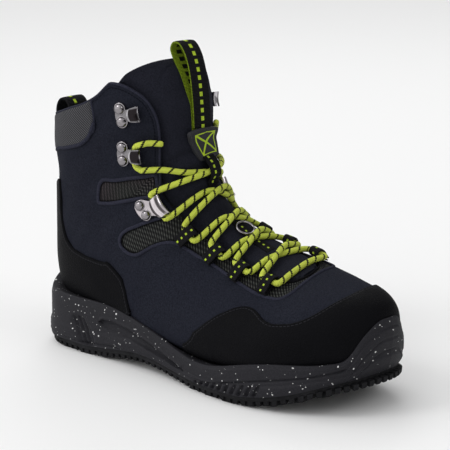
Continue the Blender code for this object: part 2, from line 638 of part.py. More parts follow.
def dome(o, n, radius, height, stub, mat, sides=5):
    """Rivet head on a stub."""
    ref = np.array([0.0, 0, 1]) if abs(n[2]) < .9 else np.array([1.0, 0, 0])
    u = np.cross(n, ref)
    u /= np.linalg.norm(u)
    v = np.cross(n, u)
    pts, faces = [], []
    rings = ((1.0, -stub), (1.0, .15 * height), (.70, .75 * height))
    for r, h in rings:
        for k in range(sides):
            a = 2 * np.pi * k / sides
            pts.append(o + (u * np.cos(a) + v * np.sin(a)) * radius * r + n * h)
    pts.append(o + n * height)
    for i in range(len(rings) - 1):
        faces += [(i * sides + k, i * sides + (k + 1) % sides, (i + 1) * sides + (k + 1) % sides, (i + 1) * sides + k) for k in range(sides)]
    faces.append(tuple(range(sides - 1, -1, -1)))
    top = (len(rings) - 1) * sides
    faces += [(top + k, top + (k + 1) % sides, len(pts) - 1) for k in range(sides)]
    return add("rivet", pts, faces, mat)


# Hooks: (name, s, angle, turn, size); the strip runs to the throat and curls back
HOOK_PATH = ((-3.9, 0.6, 9.0), (-1.5, 0.6, 15.5), (1.8, 0.6, 15.0), (5.0, 0.6, 8.0), (9.0, 0.6, 10.0), (13.4, 1.0, 11.6),
             (15.7, 3.6, 11.8), (13.2, 6.7, 11.6), (9.4, 6.7, 10.2), (7.2, 7.6, 8.6))
HOOKS = (("hook_1", .861, 66.5, 0, 1.0), ("hook_2", .768, 69, 0, 1.0), ("hook_lock", .590, 57.5, 20, 1.12))
for name, s, angle, turn, size in HOOKS:
    for sign, side in ((1, "lateral"), (-1, "medial")):
        o, toward, up, n = frame(s, sign * angle, 0.0005, turn)
        k = size * HOOK_REACH / 15.7
        path = [o + toward * a * k + n * c * k for a, c, w in HOOK_PATH]
        hook = ribbon(name + "_" + side, path, [w * k for a, c, w in HOOK_PATH], 0.0011, up, STEEL)
        for b in (-4.8, 4.8):
            boolean(hook, dome(o + up * b * k + n * 0.0011 * size, n, 0.0034 * size, 0.0021, 0.0008, STEEL), "UNION")

# Webbing loops for the lace
LOOP_PATH = ((-8.5, .9), (2.6, 1.0), (6.1, 2.3), (7.1, 4.5), (5.6, 6.7), (2.2, 7.3), (-5.0, 4.1), (-8.5, 2.7))
LOOPS = ((.284, 24.5, -33), (.341, 27.5, -36.5), (.401, 31.5, -39.5), (.466, 39.5, -45.5))
for k, (s, outer, inner) in enumerate(LOOPS):
    for angle, side in ((outer, "lateral"), (inner, "medial")):
        o, toward, up, n = frame(s, angle, 0.0004)
        path = [o + toward * a / 1000 + n * c / 1000 for a, c in LOOP_PATH]
        ribbon("lace_loop_%d_%s" % (k + 1, side), path, 0.0085, 0.0011, up, WEBBING)


# Laces: each crossing is two strands joined where they meet
def smooth(points, count):
    """Catmull-Rom through world points."""
    return table(np.array(points, float), np.linspace(0, 1, count))


def hook_point(which, sign, a, b, c):
    """Place on a hook, in its own millimetres: to the throat, up, outwards."""
    name, s, angle, turn, size = HOOKS[which]
    o, toward, up, n = frame(s, sign * angle, 0.0004, turn)
    return o + (toward * a + up * b + n * c) * size * HOOK_REACH / 15.7


def over(s, a, lift):
    return at(s, a, lift * LACE / 4)


def crossing(name, low, high, middle, count):
    """low and high give the strand's ends by side; middle lists points between them."""
    def path(sign):
        return smooth([low(sign)] + [over(s, a * sign + shift, lift) for s, a, shift, lift in middle] + [high(-sign)], count)
    ob = tube(name, path(1), LACE, CORD)
    boolean(ob, tube("other", path(-1), LACE, CORD), "UNION")


CHANNEL = ((21, -29.5), (24, -33), (28, -36), (36, -42))


def beside(k, shift):
    """Lace at loop k's mouth, moved along the form."""
    return lambda sign: over(LOOPS[k][0] + shift, CHANNEL[k][0 if sign > 0 else 1], 4.1)


tube("lace_bar", smooth([beside(0, -.0175)(1), over(.2650, 8, 2.9), over(.2650, -14, 2.9), beside(0, -.0175)(-1)], 7), LACE, CORD)
crossing("lace_cross_1", beside(0, .0175), beside(1, -.0175), ((.3075, 9, -4, 3.5), (.3190, -9, -4, 3.5)), 6)
crossing("lace_cross_2", beside(1, .0175), beside(2, -.0195), ((.3640, 10, -4, 3.7), (.3770, -10, -4, 3.7)), 6)
crossing("lace_cross_3", beside(2, .0175), beside(3, -.0205), ((.4250, 11, -4, 2.9), (.4400, -11, -4, 2.9)), 6)
crossing("lace_cross_4", beside(3, .0170), lambda sign: hook_point(2, sign, 14.0, -9.4, 4.0),
         ((.4940, 13, -3, 2.9), (.5140, -13, -3, 2.9)), 7)
crossing("lace_cross_5", lambda sign: hook_point(2, sign, 14.4, 11.2, 4.0), lambda sign: hook_point(1, sign, 17.5, -9.6, 4.2),
         ((.5720, 24, 0, 3.4), (.5620, 2, 0, 3.0), (.5900, -20, 0, 3.6), (.6450, -38, 0, 4.0)), 9)
for sign, side, tip in ((1, "lateral", (.722, 36, 3.4)), (-1, "medial", (.741, 22, 3.4))):
    turn = [hook_point(1, sign, *v) for v in ((15.4, -9.3, 4.1), (12.4, -7.6, 3.95), (11.1, -4.0, 3.9), (11.1, 4.0, 3.9),
                                              (12.6, 7.8, 3.95), (17.0, 9.8, 4.0))]
    tube("lace_end_" + side, smooth(turn + [over(.750, sign * 47, 4.2), over(tip[0], sign * tip[1], tip[2])], 11), LACE, CORD)


# Pieces on the tongue
def plate(name, corners, low, high, mat, nu=4, nv=3):
    """Curved plate between four (s, angle) corners."""
    c = np.array(corners, float)
    out, inn = [], []
    for i in range(nu):
        for j in range(nv):
            u, v = i / (nu - 1), j / (nv - 1)
            p = (c[0] * (1 - u) + c[1] * u) * (1 - v) + (c[3] * (1 - u) + c[2] * u) * v
            out.append(at(p[0], p[1], high))
            inn.append(at(p[0], p[1], low))
    faces = [(i * nv + j, (i + 1) * nv + j, (i + 1) * nv + j + 1, i * nv + j + 1) for i in range(nu - 1) for j in range(nv - 1)]
    points, made = thicken(np.array(out), np.array(inn), faces)
    return add(name, points, made, mat)


plate("tongue_patch", [(.712, 13), (.722, -17), (.640, -19), (.626, 8)], .0002, .0022, SYNTHETIC)
keeper_s = np.array([.618, .604, .588, .570, .554, .545, .538, .531, .523])
keeper_lift = np.array([8, 34, 64, 76, 74, 52, 24, 12, 11]) / 1e4
frames = [frame(s, -4.0, lift) for s, lift in zip(keeper_s, keeper_lift)]
ribbon("lace_keeper", [f[0] for f in frames], .0095, .0012, np.cross(frames[4][2], frames[4][3]), WEBBING)
plate("ring_strap", [(.419, 0.5), (.419, -9.5), (.336, -10), (.334, 0)], .0004, .0014, WEBBING, 3, 6)
o, toward, up, n = frame(.398, -5.0, .0027)
ring_path = [o + (toward * np.cos(a) * 7.4 + up * np.sin(a) * 6.4) / 1000 for a in np.linspace(0, 2 * np.pi, 13)[:-1]]
tube("ring", ring_path, 0.0018, STEEL, 5, True)


def side_path(points, y):
    """Points in the middle plane, from hundredths of LENGTH and of UPPER_HEIGHT above the ball's datum."""
    return [(x * LENGTH / 100 - HEEL_CENTRE, y * BALL_WIDTH / 100, BALL_STACK + z * UPPER_HEIGHT / 100) for x, z in points]


pull_across = np.array([-np.sin(np.radians(4)), np.cos(np.radians(4)), 0])
ribbon("tongue_pull", side_path([(44.5, 75.2), (44.0, 81.3), (43.4, 86.4), (42.1, 91.6), (40.2, 96.3), (38.1, 100.2), (37.3, 103.3),
                               (38.5, 105.6), (40.9, 104.7), (43.4, 100.9), (45.2, 95.8), (46.0, 89.7), (46.2, 83.2), (45.8, 77.6)], 2.6),
       PULL_WIDTH, WEB, pull_across, WEBBING)
ribbon("heel_pull", side_path([(1.4, 64.7), (0.3, 68.7), (-0.4, 72.4), (-0.1, 75.7), (1.1, 77.9), (2.7, 77.8), (3.9, 75.7), (4.3,
                               72.0), (4.5, 67.3)], -0.4),
       HEEL_PULL_WIDTH, WEB, (0, 1, 0), WEBBING)
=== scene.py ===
"""Looks of a wading boot for the right foot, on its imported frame.

Metres, +X to the toe, +Y to the inner side, +Z up, origin under the heel. Cloth and
overlays are grids on one foot form: form(s, angle) with s from the toe (0) to the
tongue's top (1), and the angle 0 on the front ridge, +90 on the outer side, 180
behind the heel or under the foot, -90 on the inner side.
"""
import bpy
import numpy as np
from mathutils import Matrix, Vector


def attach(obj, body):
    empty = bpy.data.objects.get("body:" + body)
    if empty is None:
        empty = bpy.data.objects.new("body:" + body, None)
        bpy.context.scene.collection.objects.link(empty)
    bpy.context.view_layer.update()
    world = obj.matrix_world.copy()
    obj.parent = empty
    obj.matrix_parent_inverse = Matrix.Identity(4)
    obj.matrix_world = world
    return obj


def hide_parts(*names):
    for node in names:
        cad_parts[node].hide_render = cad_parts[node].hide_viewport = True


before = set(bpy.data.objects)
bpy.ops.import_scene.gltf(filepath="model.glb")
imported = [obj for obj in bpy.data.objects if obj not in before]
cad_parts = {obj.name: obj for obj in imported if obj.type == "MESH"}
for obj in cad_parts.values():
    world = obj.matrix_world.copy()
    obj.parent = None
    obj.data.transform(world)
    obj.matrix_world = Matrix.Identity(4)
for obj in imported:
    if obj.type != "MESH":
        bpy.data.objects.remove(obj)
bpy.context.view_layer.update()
MM = 0.001
SIDES = ((1, "lateral"), (-1, "medial"))
MIRROR = (1, -1)  # signs of the outer and inner side, and what turns an (s, angle) to the other one

# Driving sizes, as the frame has them
LENGTH, BALL_WIDTH, UPPER_HEIGHT, BALL_STACK = .312, .114, .214, .022
HEEL_CENTRE, WALL, BUMPER_HEIGHT, TOE_SPRING, ARCH_RISE, HEEL_RISE = .040, .0024, .066, .0205, .0057, .012
LUG_DEPTH, TREAD, LACE, HOOK_REACH, INSOLE_RISE = .0040, .0035, .0040, .0157, .0045
LACE_SEEN = .0045  # the braid with its pile
THROAT_FOOT, COLLAR_TOP = .245, .952
OVERLAY_OFF, OVERLAY_THICK = .0004, .0014
TAPE_THICK, LOOP_WIDTH, KEEPER_WIDTH, STRAP_WIDTH = .0012, .0085, .0122, .0092

# Sections of the form, toe to tongue top, in hundredths of the driving sizes:
# top x and z, low x and z, half width out and in, ridge y, height of the widest
# line, roundness above and below it, tilt
FORM = np.array([
    (98.5, 18.7, 98.5, 9.6, 0.4, 0.4, 7.9, .50, 2.0, 2.0, 0),
    (97.9, 22.9, 97.9, 7.3, 13.6, 13.2, 7.9, .46, 2.2, 2.4, 0),
    (95.9, 25.7, 95.9, 5.3, 23.6, 21.6, 7.9, .43, 2.3, 2.8, .02),
    (91.9, 27.8, 91.9, 3.4, 33.6, 29.6, 7.0, .40, 2.4, 3.2, .06),
    (85.5, 29.0, 85.5, 1.6, 42.2, 37.2, 5.3, .38, 2.4, 3.8, .13),
    (78.2, 29.9, 78.8, 0.1, 47.4, 43.0, 4.4, .36, 2.3, 4.0, .22),
    (71.2, 31.3, 72.4, -0.7, 48.2, 45.6, 4.4, .34, 2.2, 4.0, .27),
    (64.1, 34.1, 64.7, -1.3, 46.9, 43.9, 4.4, .33, 2.1, 4.0, .27),
    (58.0, 37.9, 56.1, -1.5, 44.3, 40.8, 4.4, .32, 2.0, 4.0, .24),
    (52.9, 42.8, 46.5, -0.6, 41.7, 38.2, 4.4, .32, 2.0, 4.0, .18),
    (49.0, 48.6, 36.2, 1.2, 39.9, 36.8, 3.5, .33, 2.0, 3.8, .12),
    (46.8, 54.2, 26.3, 3.0, 39.0, 36.4, 3.5, .34, 2.1, 3.4, .06),
    (45.4, 59.6, 16.7, 4.0, 38.2, 36.4, 2.6, .37, 2.2, 3.0, .02),
    (44.6, 64.5, 9.0, 4.9, 37.7, 36.4, 2.6, .42, 2.3, 2.7, 0),
    (44.1, 69.2, 4.0, 8.2, 37.3, 36.4, 2.6, .45, 2.4, 2.5, 0),
    (43.8, 73.8, 1.8, 16.5, 37.3, 36.4, 2.6, .48, 2.4, 2.4, 0),
    (43.6, 78.5, 1.4, 29.0, 37.7, 37.3, 2.6, .50, 2.4, 2.3, 0),
    (43.3, 83.2, 1.9, 41.0, 39.0, 38.6, 2.6, .50, 2.4, 2.3, 0),
    (42.6, 87.9, 2.4, 52.0, 40.4, 39.9, 2.6, .50, 2.4, 2.3, 0),
    (41.3, 92.5, 2.7, 62.5, 41.2, 40.8, 2.6, .50, 2.4, 2.3, 0),
    (39.4, 96.7, 2.7, 72.9, 41.7, 41.2, 2.6, .50, 2.4, 2.3, 0),
    (36.5, 100.0, 2.6, 83.2, 41.7, 41.2, 2.6, .50, 2.4, 2.3, 0)], float)

# Sole stations, heel to toe, in hundredths: x, half widths, wall top, bottom
SOLE = np.array([
    (0.0, -1.5, 1.5, 78, 10), (0.5, -11.0, 11.0, 76, 10), (1.6, -20.0, 20.0, 70, 6),
    (4.0, -28.5, 28.5, 66, 0), (8.0, -34.5, 33.5, 65, 0), (14.5, -37.0, 36.0, 65, 0),
    (20.0, -37.5, 35.5, 65, 0), (26.0, -37.8, 35.0, 64.5, 35), (32.0, -38.5, 34.4, 61, 75),
    (38.0, -39.5, 34.2, 54, 100), (44.5, -41.0, 35.4, 46, 78), (51.0, -43.7, 38.0, 37.5, 35),
    (57.0, -46.8, 41.4, 33, 4), (62.5, -49.1, 44.8, 33.5, 0), (67.5, -50.3, 47.6, 38, 0),
    (72.5, -50.3, 49.2, 44, 0), (77.0, -49.2, 49.7, 48.5, 10), (81.5, -47.2, 49.4, 52, 23),
    (86.0, -43.8, 47.6, 54, 41), (90.0, -39.0, 44.4, 55.5, 61), (93.5, -32.6, 39.6, 57.5, 78),
    (96.3, -24.6, 33.0, 62, 88), (98.4, -14.8, 25.0, 84, 95), (99.6, -3.0, 16.5, 98, 99),
    (100.0, 7.2, 8.8, 100, 100)], float)

# Edges of the pieces as (s, angle); the collar as (angle, s)
UPPER_THROAT = [(.816, 41), (.87, 46), (.91, 54), (.935, 61), (.952, 69)]
THROAT_OUT = np.array([(.2450, 0), (.2480, 5), (.2520, 9), (.2600, 13), (.2850, 17.5), (.34, 20), (.40, 23.5),
                       (.466, 31), (.53, 38), (.59, 42), (.64, 41), (.71, 39.5), (.77, 39.5)] + UPPER_THROAT)
THROAT_IN = np.array([(.2450, 0), (.2480, 8), (.2520, 14), (.2600, 19), (.2850, 25), (.34, 28), (.40, 31),
                      (.466, 37), (.53, 42), (.59, 44), (.64, 42), (.71, 40), (.77, 40)] + UPPER_THROAT)
THROATS = (THROAT_OUT, THROAT_IN)
COLLAR = np.array([(67, .952), (73, .950), (82, .938), (90, .935), (97, .937), (103, .940), (116, .944),
                   (140, .950), (180, .952)])
RAND = [(.148, 0), (.1485, 8), (.151, 16), (.159, 30), (.176, 48), (.198, 58), (.229, 59), (.250, 56),
        (.278, 48), (.299, 48), (.315, 53), (.332, 61), (.350, 70), (.367, 80), (.385, 91), (.400, 104)]
COUNTER = [(.497, 106), (.508, 97), (.523, 91), (.56, 89), (.594, 91), (.659, 102), (.690, 110), (.734, 121),
           (.767, 127), (.800, 128), (.822, 129), (.829, 131.5), (.832, 136)]
VAMP_EDGE = np.array([(.560, 78.5), (.546, 77), (.533, 73.5), (.518, 64.4), (.500, 56), (.484, 50.5),
                      (.466, 46.8), (.429, 42), (.399, 37.5), (.364, 35), (.330, 34), (.299, 34), (.268, 33),
                      (.250, 31), (.240, 23), (.238, 9), (.238, -6), (.239, -22), (.250, -34), (.268, -38),
                      (.299, -41), (.330, -42), (.364, -43.5), (.399, -46), (.429, -49), (.466, -53),
                      (.484, -56), (.500, -60), (.518, -66), (.533, -73.5), (.546, -77), (.560, -78.5)])
BAND_TOP = np.array([(.560, 78.5), (.576, 79.2), (.588, 78.4), (.594, 76), (.589, 71.5), (.580, 67.5),
                     (.566, 60.8), (.554, 55.1), (.542, 49.5), (.531, 43), (.526, 36)])
WINDOW = np.array([(.738, 88), (.748, 87.6), (.752, 85.8), (.747, 83.0), (.731, 76.9), (.704, 65.5),
                   (.671, 53.5), (.652, 46.2), (.642, 44.2), (.616, 44.2), (.597, 44.8), (.590, 46.5),
                   (.601, 50.7), (.627, 59.3), (.660, 70), (.686, 78.7), (.704, 84.2), (.715, 87.2),
                   (.725, 88.0), (.738, 88)])
# Creases of the upper: places, half width and depth in millimetres
CREASES = (([(.28, 76), (.31, 66), (.34, 60), (.37, 62)], 13, .5),
           ([(.40, 88), (.43, 76), (.455, 68), (.48, 70)], 14, .6),
           ([(.57, 116), (.60, 102), (.62, 92), (.64, 88)], 15, .7),
           ([(.69, 124), (.70, 110), (.715, 98)], 14, .5))


# Curves and the foot form
def table(rows, share):
    """Catmull-Rom curve through rows, at share 0 to 1 of their number."""
    rows, share = np.asarray(rows, float), np.asarray(share, float)
    last = len(rows) - 1
    k = np.clip(share * last, 0, last)
    i = np.minimum(k.astype(int), last - 1)
    f = (k - i)[..., None]
    a, b = rows[i], rows[i + 1]
    before = np.where((i == 0)[..., None], 2 * a - b, rows[np.maximum(i - 1, 0)])
    after = np.where((i == last - 1)[..., None], 2 * b - a, rows[np.minimum(i + 2, last)])
    return .5 * (2 * a + (b - before) * f + (2 * before - 5 * a + 4 * b - after) * f * f
                 + (3 * a - before - 3 * b + after) * f ** 3)


def curve(rows, count):
    """Catmull-Rom curve through rows, as count samples."""
    return table(rows, np.linspace(0, 1, count))


def on(rows, s):
    """Second column of a smooth curve through rows, at values s of the first."""
    dense = curve(rows, 60 * len(rows))
    keep = np.r_[True, np.diff(np.maximum.accumulate(dense[:, 0])) > 0]
    return np.interp(s, dense[keep, 0], dense[keep, 1])


def bare(s, a):
    """Point of the form: a superellipse, its upper and lower half apart, on a line from low to top."""
    s, a = np.broadcast_arrays(np.asarray(s, float), np.asarray(a, float))
    tx, tz, lx, lz, out, inn, ry, split, rt, rl, tilt = np.moveaxis(table(FORM, s), -1, 0)
    ca, sa = np.cos(a), np.sin(a)
    p = np.where(ca >= 0, rt, rl)
    up, side = np.abs(ca) ** (2 / p), np.abs(sa) ** (2 / p)
    h = np.where(ca >= 0, split + (1 - split) * up, split * (1 - up))
    dy = -np.sign(sa) * np.where(sa >= 0, out, inn) * side * BALL_WIDTH / 100
    return np.stack([(lx + (tx - lx) * h) * LENGTH / 100 - HEEL_CENTRE,
                     ry * np.sqrt(h) * BALL_WIDTH / 100 + dy,
                     BALL_STACK + (lz + (tz - lz) * h) * UPPER_HEIGHT / 100 + tilt * dy * h], -1)


def form(s, degrees, off=0.0):
    """Point of the form moved off along its outward normal, and that normal."""
    s, degrees, off = np.broadcast_arrays(*(np.asarray(v, float) for v in (s, degrees, off)))
    a = np.radians(degrees)
    du = bare(np.minimum(s + 2e-3, 1), a) - bare(np.maximum(s - 2e-3, 0), a)
    n = unit(np.cross(du, bare(s, a + 6e-3) - bare(s, a - 6e-3)))
    return bare(s, a) + n * off[..., None], n


def at(s, degrees, off=0.0):
    """Point of the form moved off along its normal."""
    return form(s, degrees, off)[0]


def unit(v):
    """Vectors of length 1."""
    return v / np.maximum(np.linalg.norm(v, axis=-1, keepdims=True), 1e-12)


def ease(value, low, high):
    """0 below low, 1 above high, a smooth cubic between."""
    t = np.clip((np.asarray(value, float) - low) / (high - low), 0, 1)
    return t * t * (3 - 2 * t)


def bell(value, centre, width):
    """exp(-((value - centre) / width)^2)."""
    return np.exp(-((value - centre) / width) ** 2)


def quarter_round(distance, radius):
    """Height 0 to 1 of a quarter circle at a distance from its edge."""
    return np.sqrt(1 - (1 - np.clip(distance / radius, 0, 1)) ** 2)


def spans(*parts):
    """Rising values over (from, to, count) spans, each once."""
    return np.unique(np.round(np.concatenate([np.linspace(*part) for part in parts]), 5))


def length_along(line):
    """Length of a line up to each of its points."""
    return np.r_[0, np.cumsum(np.linalg.norm(np.diff(line, axis=0), axis=1))]


def sampled(columns, run, places):
    """Columns given at run, read at places."""
    return np.stack([np.interp(places, run, column) for column in columns.T], -1)


def run_of(points, axis):
    """Length along an axis of a grid, in millimetres, from its first line."""
    step = np.linalg.norm(np.diff(points, axis=axis), axis=-1)
    return np.concatenate([np.zeros_like(step.take([0], axis)), np.cumsum(step, axis)], axis) / MM


def from_last(points, axis):
    """Length along an axis of a grid, in millimetres, from its last line."""
    return np.flip(run_of(np.flip(points, axis), axis), axis)


def from_ends(points, axis):
    """Length along an axis of a grid to the nearer of its two ends, in millimetres."""
    return np.minimum(run_of(points, axis), from_last(points, axis))


def closest(points, line):
    """Distance of each point to a sampled line, and the number of the sample there."""
    flat = points.reshape(-1, points.shape[-1])
    gap, place = np.empty(len(flat)), np.empty(len(flat), int)
    for k in range(0, len(flat), 4096):
        d = np.linalg.norm(flat[k:k + 4096, None] - line[None], axis=2)
        gap[k:k + 4096], place[k:k + 4096] = d.min(1), d.argmin(1)
    return gap.reshape(points.shape[:-1]), place.reshape(points.shape[:-1])


def nearest(points, line):
    """Distance of each point to a sampled line, and the length along the line there, in millimetres."""
    gap, place = closest(points, line)
    return gap / MM, (length_along(line) / MM)[place]


def inside(s, a, ring):
    """Even-odd test of places against a closed ring of (s, angle)."""
    found = np.zeros(s.shape, bool)
    for (s0, a0), (s1, a1) in zip(ring, np.roll(ring, -1, 0)):
        if a0 != a1:
            found ^= ((a0 > a) != (a1 > a)) & (s < (s1 - s0) * (a - a0) / (a1 - a0) + s0)
    return found


# Meshes
def make(name, points, quads, materials, caps=(), facets=None, values=None, sharp=50, node=(), uv=None):
    """Mesh object from points and quads; uv in millimetres per corner, values are point attributes."""
    points = np.asarray(points)
    corners = np.concatenate([np.ravel(quads), *caps]).astype(np.int32)
    sizes = np.concatenate([np.full(len(quads), 4), [len(c) for c in caps]]).astype(np.int32)
    starts = np.r_[0, np.cumsum(sizes)[:-1]].astype(np.int32)
    mesh = bpy.data.meshes.new(name)
    mesh.vertices.add(len(points))
    mesh.vertices.foreach_set("co", points.astype(np.float32).ravel())
    mesh.loops.add(len(corners))
    mesh.loops.foreach_set("vertex_index", corners)
    mesh.polygons.add(len(sizes))
    mesh.polygons.foreach_set("loop_start", starts)
    if uv is not None:
        mesh.uv_layers.new(name="cloth").data.foreach_set("uv", np.asarray(uv, np.float32).ravel())
    for key, value in (values or {}).items():
        layer = mesh.attributes.new(key, "FLOAT", "POINT")
        layer.data.foreach_set("value", np.ravel(value).astype(np.float32))
    for material in materials if isinstance(materials, list) else [materials]:
        mesh.materials.append(material)
    if facets is not None:
        mesh.polygons.foreach_set("material_index", np.asarray(facets, np.int32))
    mesh.update(calc_edges=True)
    a, b, c = (points[corners[starts + k]] for k in (0, 1, 2))
    d = points[corners[starts + np.minimum(3, sizes - 1)]]
    if (np.cross(a, b) * c).sum() + (np.cross(a, c) * d).sum() < 0:
        mesh.flip_normals()
    mesh.shade_smooth()
    mesh.set_sharp_from_angle(angle=np.radians(sharp))
    piece = bpy.data.objects.new(name, mesh)
    bpy.context.scene.collection.objects.link(piece)
    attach(piece, "root")
    if node:
        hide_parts(*([node] if isinstance(node, str) else node))
    return piece


def rounds(a, b):
    """Quads between rounds of point numbers a and their neighbours b."""
    return np.stack([a, b, np.roll(b, -1, -1), np.roll(a, -1, -1)], -1).reshape(-1, 4)


def patch(s, starts, stops, cols):
    """Places of two grids, outer and inner side of the foot: rows at s, columns evenly spaced by length."""
    grids, t = [], np.linspace(0, 1, 90)
    for sign, first, last in zip(MIRROR, starts, stops):
        dense = first[:, None] + (last - first)[:, None] * t
        run = run_of(at(s[:, None], sign * dense), 1)
        a = np.array([np.interp(np.linspace(0, r[-1], cols), r, d) for r, d in zip(run, dense)])
        grids.append((np.repeat(s[:, None], cols, 1), sign * a))
    return grids


def lining_faces(outside, rim, materials):
    """Material of each face: the outer layer, the inner layer and the rim."""
    return np.r_[np.zeros(outside), np.full(outside, len(materials) - 1), np.zeros(rim)]


def close(name, outer, inner, materials, ridge, back, nose, values, node):
    """Closed wall between two layers of both sides' grids, joined along ridge, back and nose line."""
    rows, cols = outer[0].shape[:2]
    for layer in (outer, inner):
        layer[1][ridge, 0] = layer[0][ridge, 0]
        layer[1][back, -1] = layer[0][back, -1]
        if nose:
            layer[0][0] = layer[1][0] = (layer[0][0] + layer[1][0]) / 2
    flat, under = (np.concatenate([g.reshape(-1, 3) for g in layer]) for layer in (outer, inner))
    index = np.arange(rows * cols).reshape(rows, cols)
    quad = np.stack([index[:-1, :-1], index[1:, :-1], index[1:, 1:], index[:-1, 1:]], -1).reshape(-1, 4)
    raw = np.concatenate([quad[:, ::-1], quad + rows * cols])
    _, first, welded = np.unique(np.round(flat / 1e-8).astype(np.int64), axis=0, return_index=True,
                                 return_inverse=True)
    faces, total = welded.reshape(-1)[raw], len(first)
    edges = np.stack([faces, np.roll(faces, -1, 1)], -1).reshape(-1, 2)
    free = ~np.isin(edges[:, 0] * total + edges[:, 1], edges[:, 1] * total + edges[:, 0])
    rim = np.column_stack([edges[free, 1], edges[free, 0], edges[free, 0] + total, edges[free, 1] + total])
    uv = []
    for g in outer:
        around = run_of(g, 1)
        uv.append(np.stack([run_of(g, 0), around - around[:, cols // 2, None]], -1).reshape(-1, 2))
    picked = np.concatenate([raw.ravel(), raw[:, ::-1].ravel(), np.repeat(raw.ravel()[free], 4)])
    spread = {key: np.tile(np.ravel(value)[first], 2) for key, value in values.items()}
    quads = np.concatenate([faces, faces[:, ::-1] + total, rim])
    make(name, np.concatenate([flat[first], under[first]]), quads, materials, values=spread, node=node,
         facets=lining_faces(len(faces), len(rim), materials), uv=np.concatenate(uv)[picked])


def sheet_solid(name, outer, inner, materials, node, uv=None, values=None):
    """Closed wall between two layers of one grid."""
    rows, cols = outer.shape[:2]
    total = rows * cols
    index = np.arange(total).reshape(rows, cols)
    quad = np.stack([index[:-1, :-1], index[:-1, 1:], index[1:, 1:], index[1:, :-1]], -1).reshape(-1, 4)
    loop = np.concatenate([index[0], index[1:, -1], index[-1, -2::-1], index[-2:0:-1, 0]])
    following = np.roll(loop, -1)
    rim = np.column_stack([loop, following, following + total, loop + total])[:, ::-1]
    if uv is None:
        around = run_of(outer, 1)
        uv = np.stack([run_of(outer, 0), around - around[:, cols // 2, None]], -1)
    quads = np.concatenate([quad, quad[:, ::-1] + total, rim])
    points = np.concatenate([outer.reshape(-1, 3), inner.reshape(-1, 3)])
    spread = {key: np.tile(np.ravel(value), 2) for key, value in (values or {}).items()}
    return make(name, points, quads, materials, values=spread, node=node,
                facets=lining_faces(len(quad), len(rim), materials),
                uv=np.tile(uv.reshape(-1, 2), (2, 1))[quads.ravel()])


def sweep(name, line, side, up, profile, materials, closed=False, columns=None, bow=None, **more):
    """Profile carried along a line: point = line + side * p + up * q, over closed rounds of (p, q).

    A bow adds (p / half width)^2 along its vector; columns give the material of each face of a round.
    """
    n, profile = len(line), np.broadcast_to(profile, (len(line), *np.shape(profile)[-2:]))
    m = profile.shape[1]
    grid = line[:, None] + side[:, None] * profile[..., :1] + up[:, None] * profile[..., 1:]
    if bow:
        half = np.abs(profile[..., :1]).max(1, keepdims=True)
        grid = grid + bow[0] * bow[1][:, None, None] * (profile[..., :1] / half) ** 2
    index = np.arange(n * m).reshape(n, m)
    rows = np.arange(n if closed else n - 1)
    after = (rows + 1) % n
    caps = [] if closed else [index[0], index[-1][::-1]]
    run = run_of(line, 0)[rows]
    ahead = run + np.linalg.norm(line[after] - line[rows], axis=1) / MM
    around = run_of(np.concatenate([grid, grid[:, :1]], 1), 1)[rows]
    u = np.stack([run, ahead, ahead, run], 1)[:, None].repeat(m, 1)
    v = np.stack([around[:, :-1], around[:, :-1], around[:, 1:], around[:, 1:]], -1)
    facets = None if columns is None else np.r_[np.tile(columns, len(rows)), np.zeros(len(caps))]
    uv = np.concatenate([np.stack([u, v], -1).reshape(-1, 2), *[np.zeros((m, 2))] * len(caps)])
    return make(name, grid.reshape(-1, 3), rounds(index[rows], index[after]), materials, caps=caps,
                facets=facets, uv=uv, **{"sharp": 40, **more})


def round_profile(width, height, count=16, power=2.0):
    """Superellipse width by height, as count points."""
    a = np.linspace(0, 2 * np.pi, count, endpoint=False)
    return np.stack([size / 2 * np.sign(part) * np.abs(part) ** (2 / power)
                     for size, part in ((width, np.cos(a)), (height, np.sin(a)))], -1)


def strap_profile(widths, thickness, count=11):
    """Flat rounds of a strap: outer face, rounded edge, inner face, rounded edge."""
    t = np.linspace(-1, 1, count)
    crown = 1 - .25 * np.abs(t) ** 6
    across = np.multiply.outer(np.atleast_1d(widths) / 2, np.r_[t, t[::-1]])
    return np.stack([across, np.broadcast_to(np.r_[crown, -crown[::-1]] * thickness / 2, across.shape)], -1)


def square_to(line, across):
    """Unit vectors square to a line and to the vectors across."""
    return unit(np.cross(unit(np.gradient(line, axis=0)), across))


def carried(line, first):
    """Side and up vectors along a line, turned as little as may be, starting from a side direction."""
    ahead = unit(np.gradient(line, axis=0))
    side = np.empty_like(line)
    v = np.asarray(first, float)
    for k, t in enumerate(ahead):
        v = unit(v - t * (v @ t))
        side[k] = v
    return side, np.cross(ahead, side)


def dense_line(points, step=.0012):
    """Smooth line through points, evenly sampled."""
    fine = curve(np.array(points), 40 * len(points))
    run = length_along(fine)
    return sampled(fine, run, np.linspace(0, run[-1], int(run[-1] / step)))


def piping(name, places, width, height, count, base=0.0, closed=False):
    """Half-round cord sunk to half its height, run over the form along (s, angle), with drawn-in ends."""
    c = curve(places, count + 1)[:-1] if closed else curve(places, count)
    line, n = form(c[:, 0], c[:, 1], base)
    ahead = unit(np.roll(line, -1, 0) - np.roll(line, 1, 0) if closed else np.gradient(line, axis=0))
    order = np.arange(len(line))
    taper = np.ones(len(line)) if closed else np.clip(np.minimum(order, order[::-1]) / 4 + .3, 0, 1)
    profile = round_profile(width, 2 * height, 14)[None] * taper[:, None, None]
    sweep(name, line, unit(np.cross(ahead, n)), n, profile, PIPING, closed=closed)


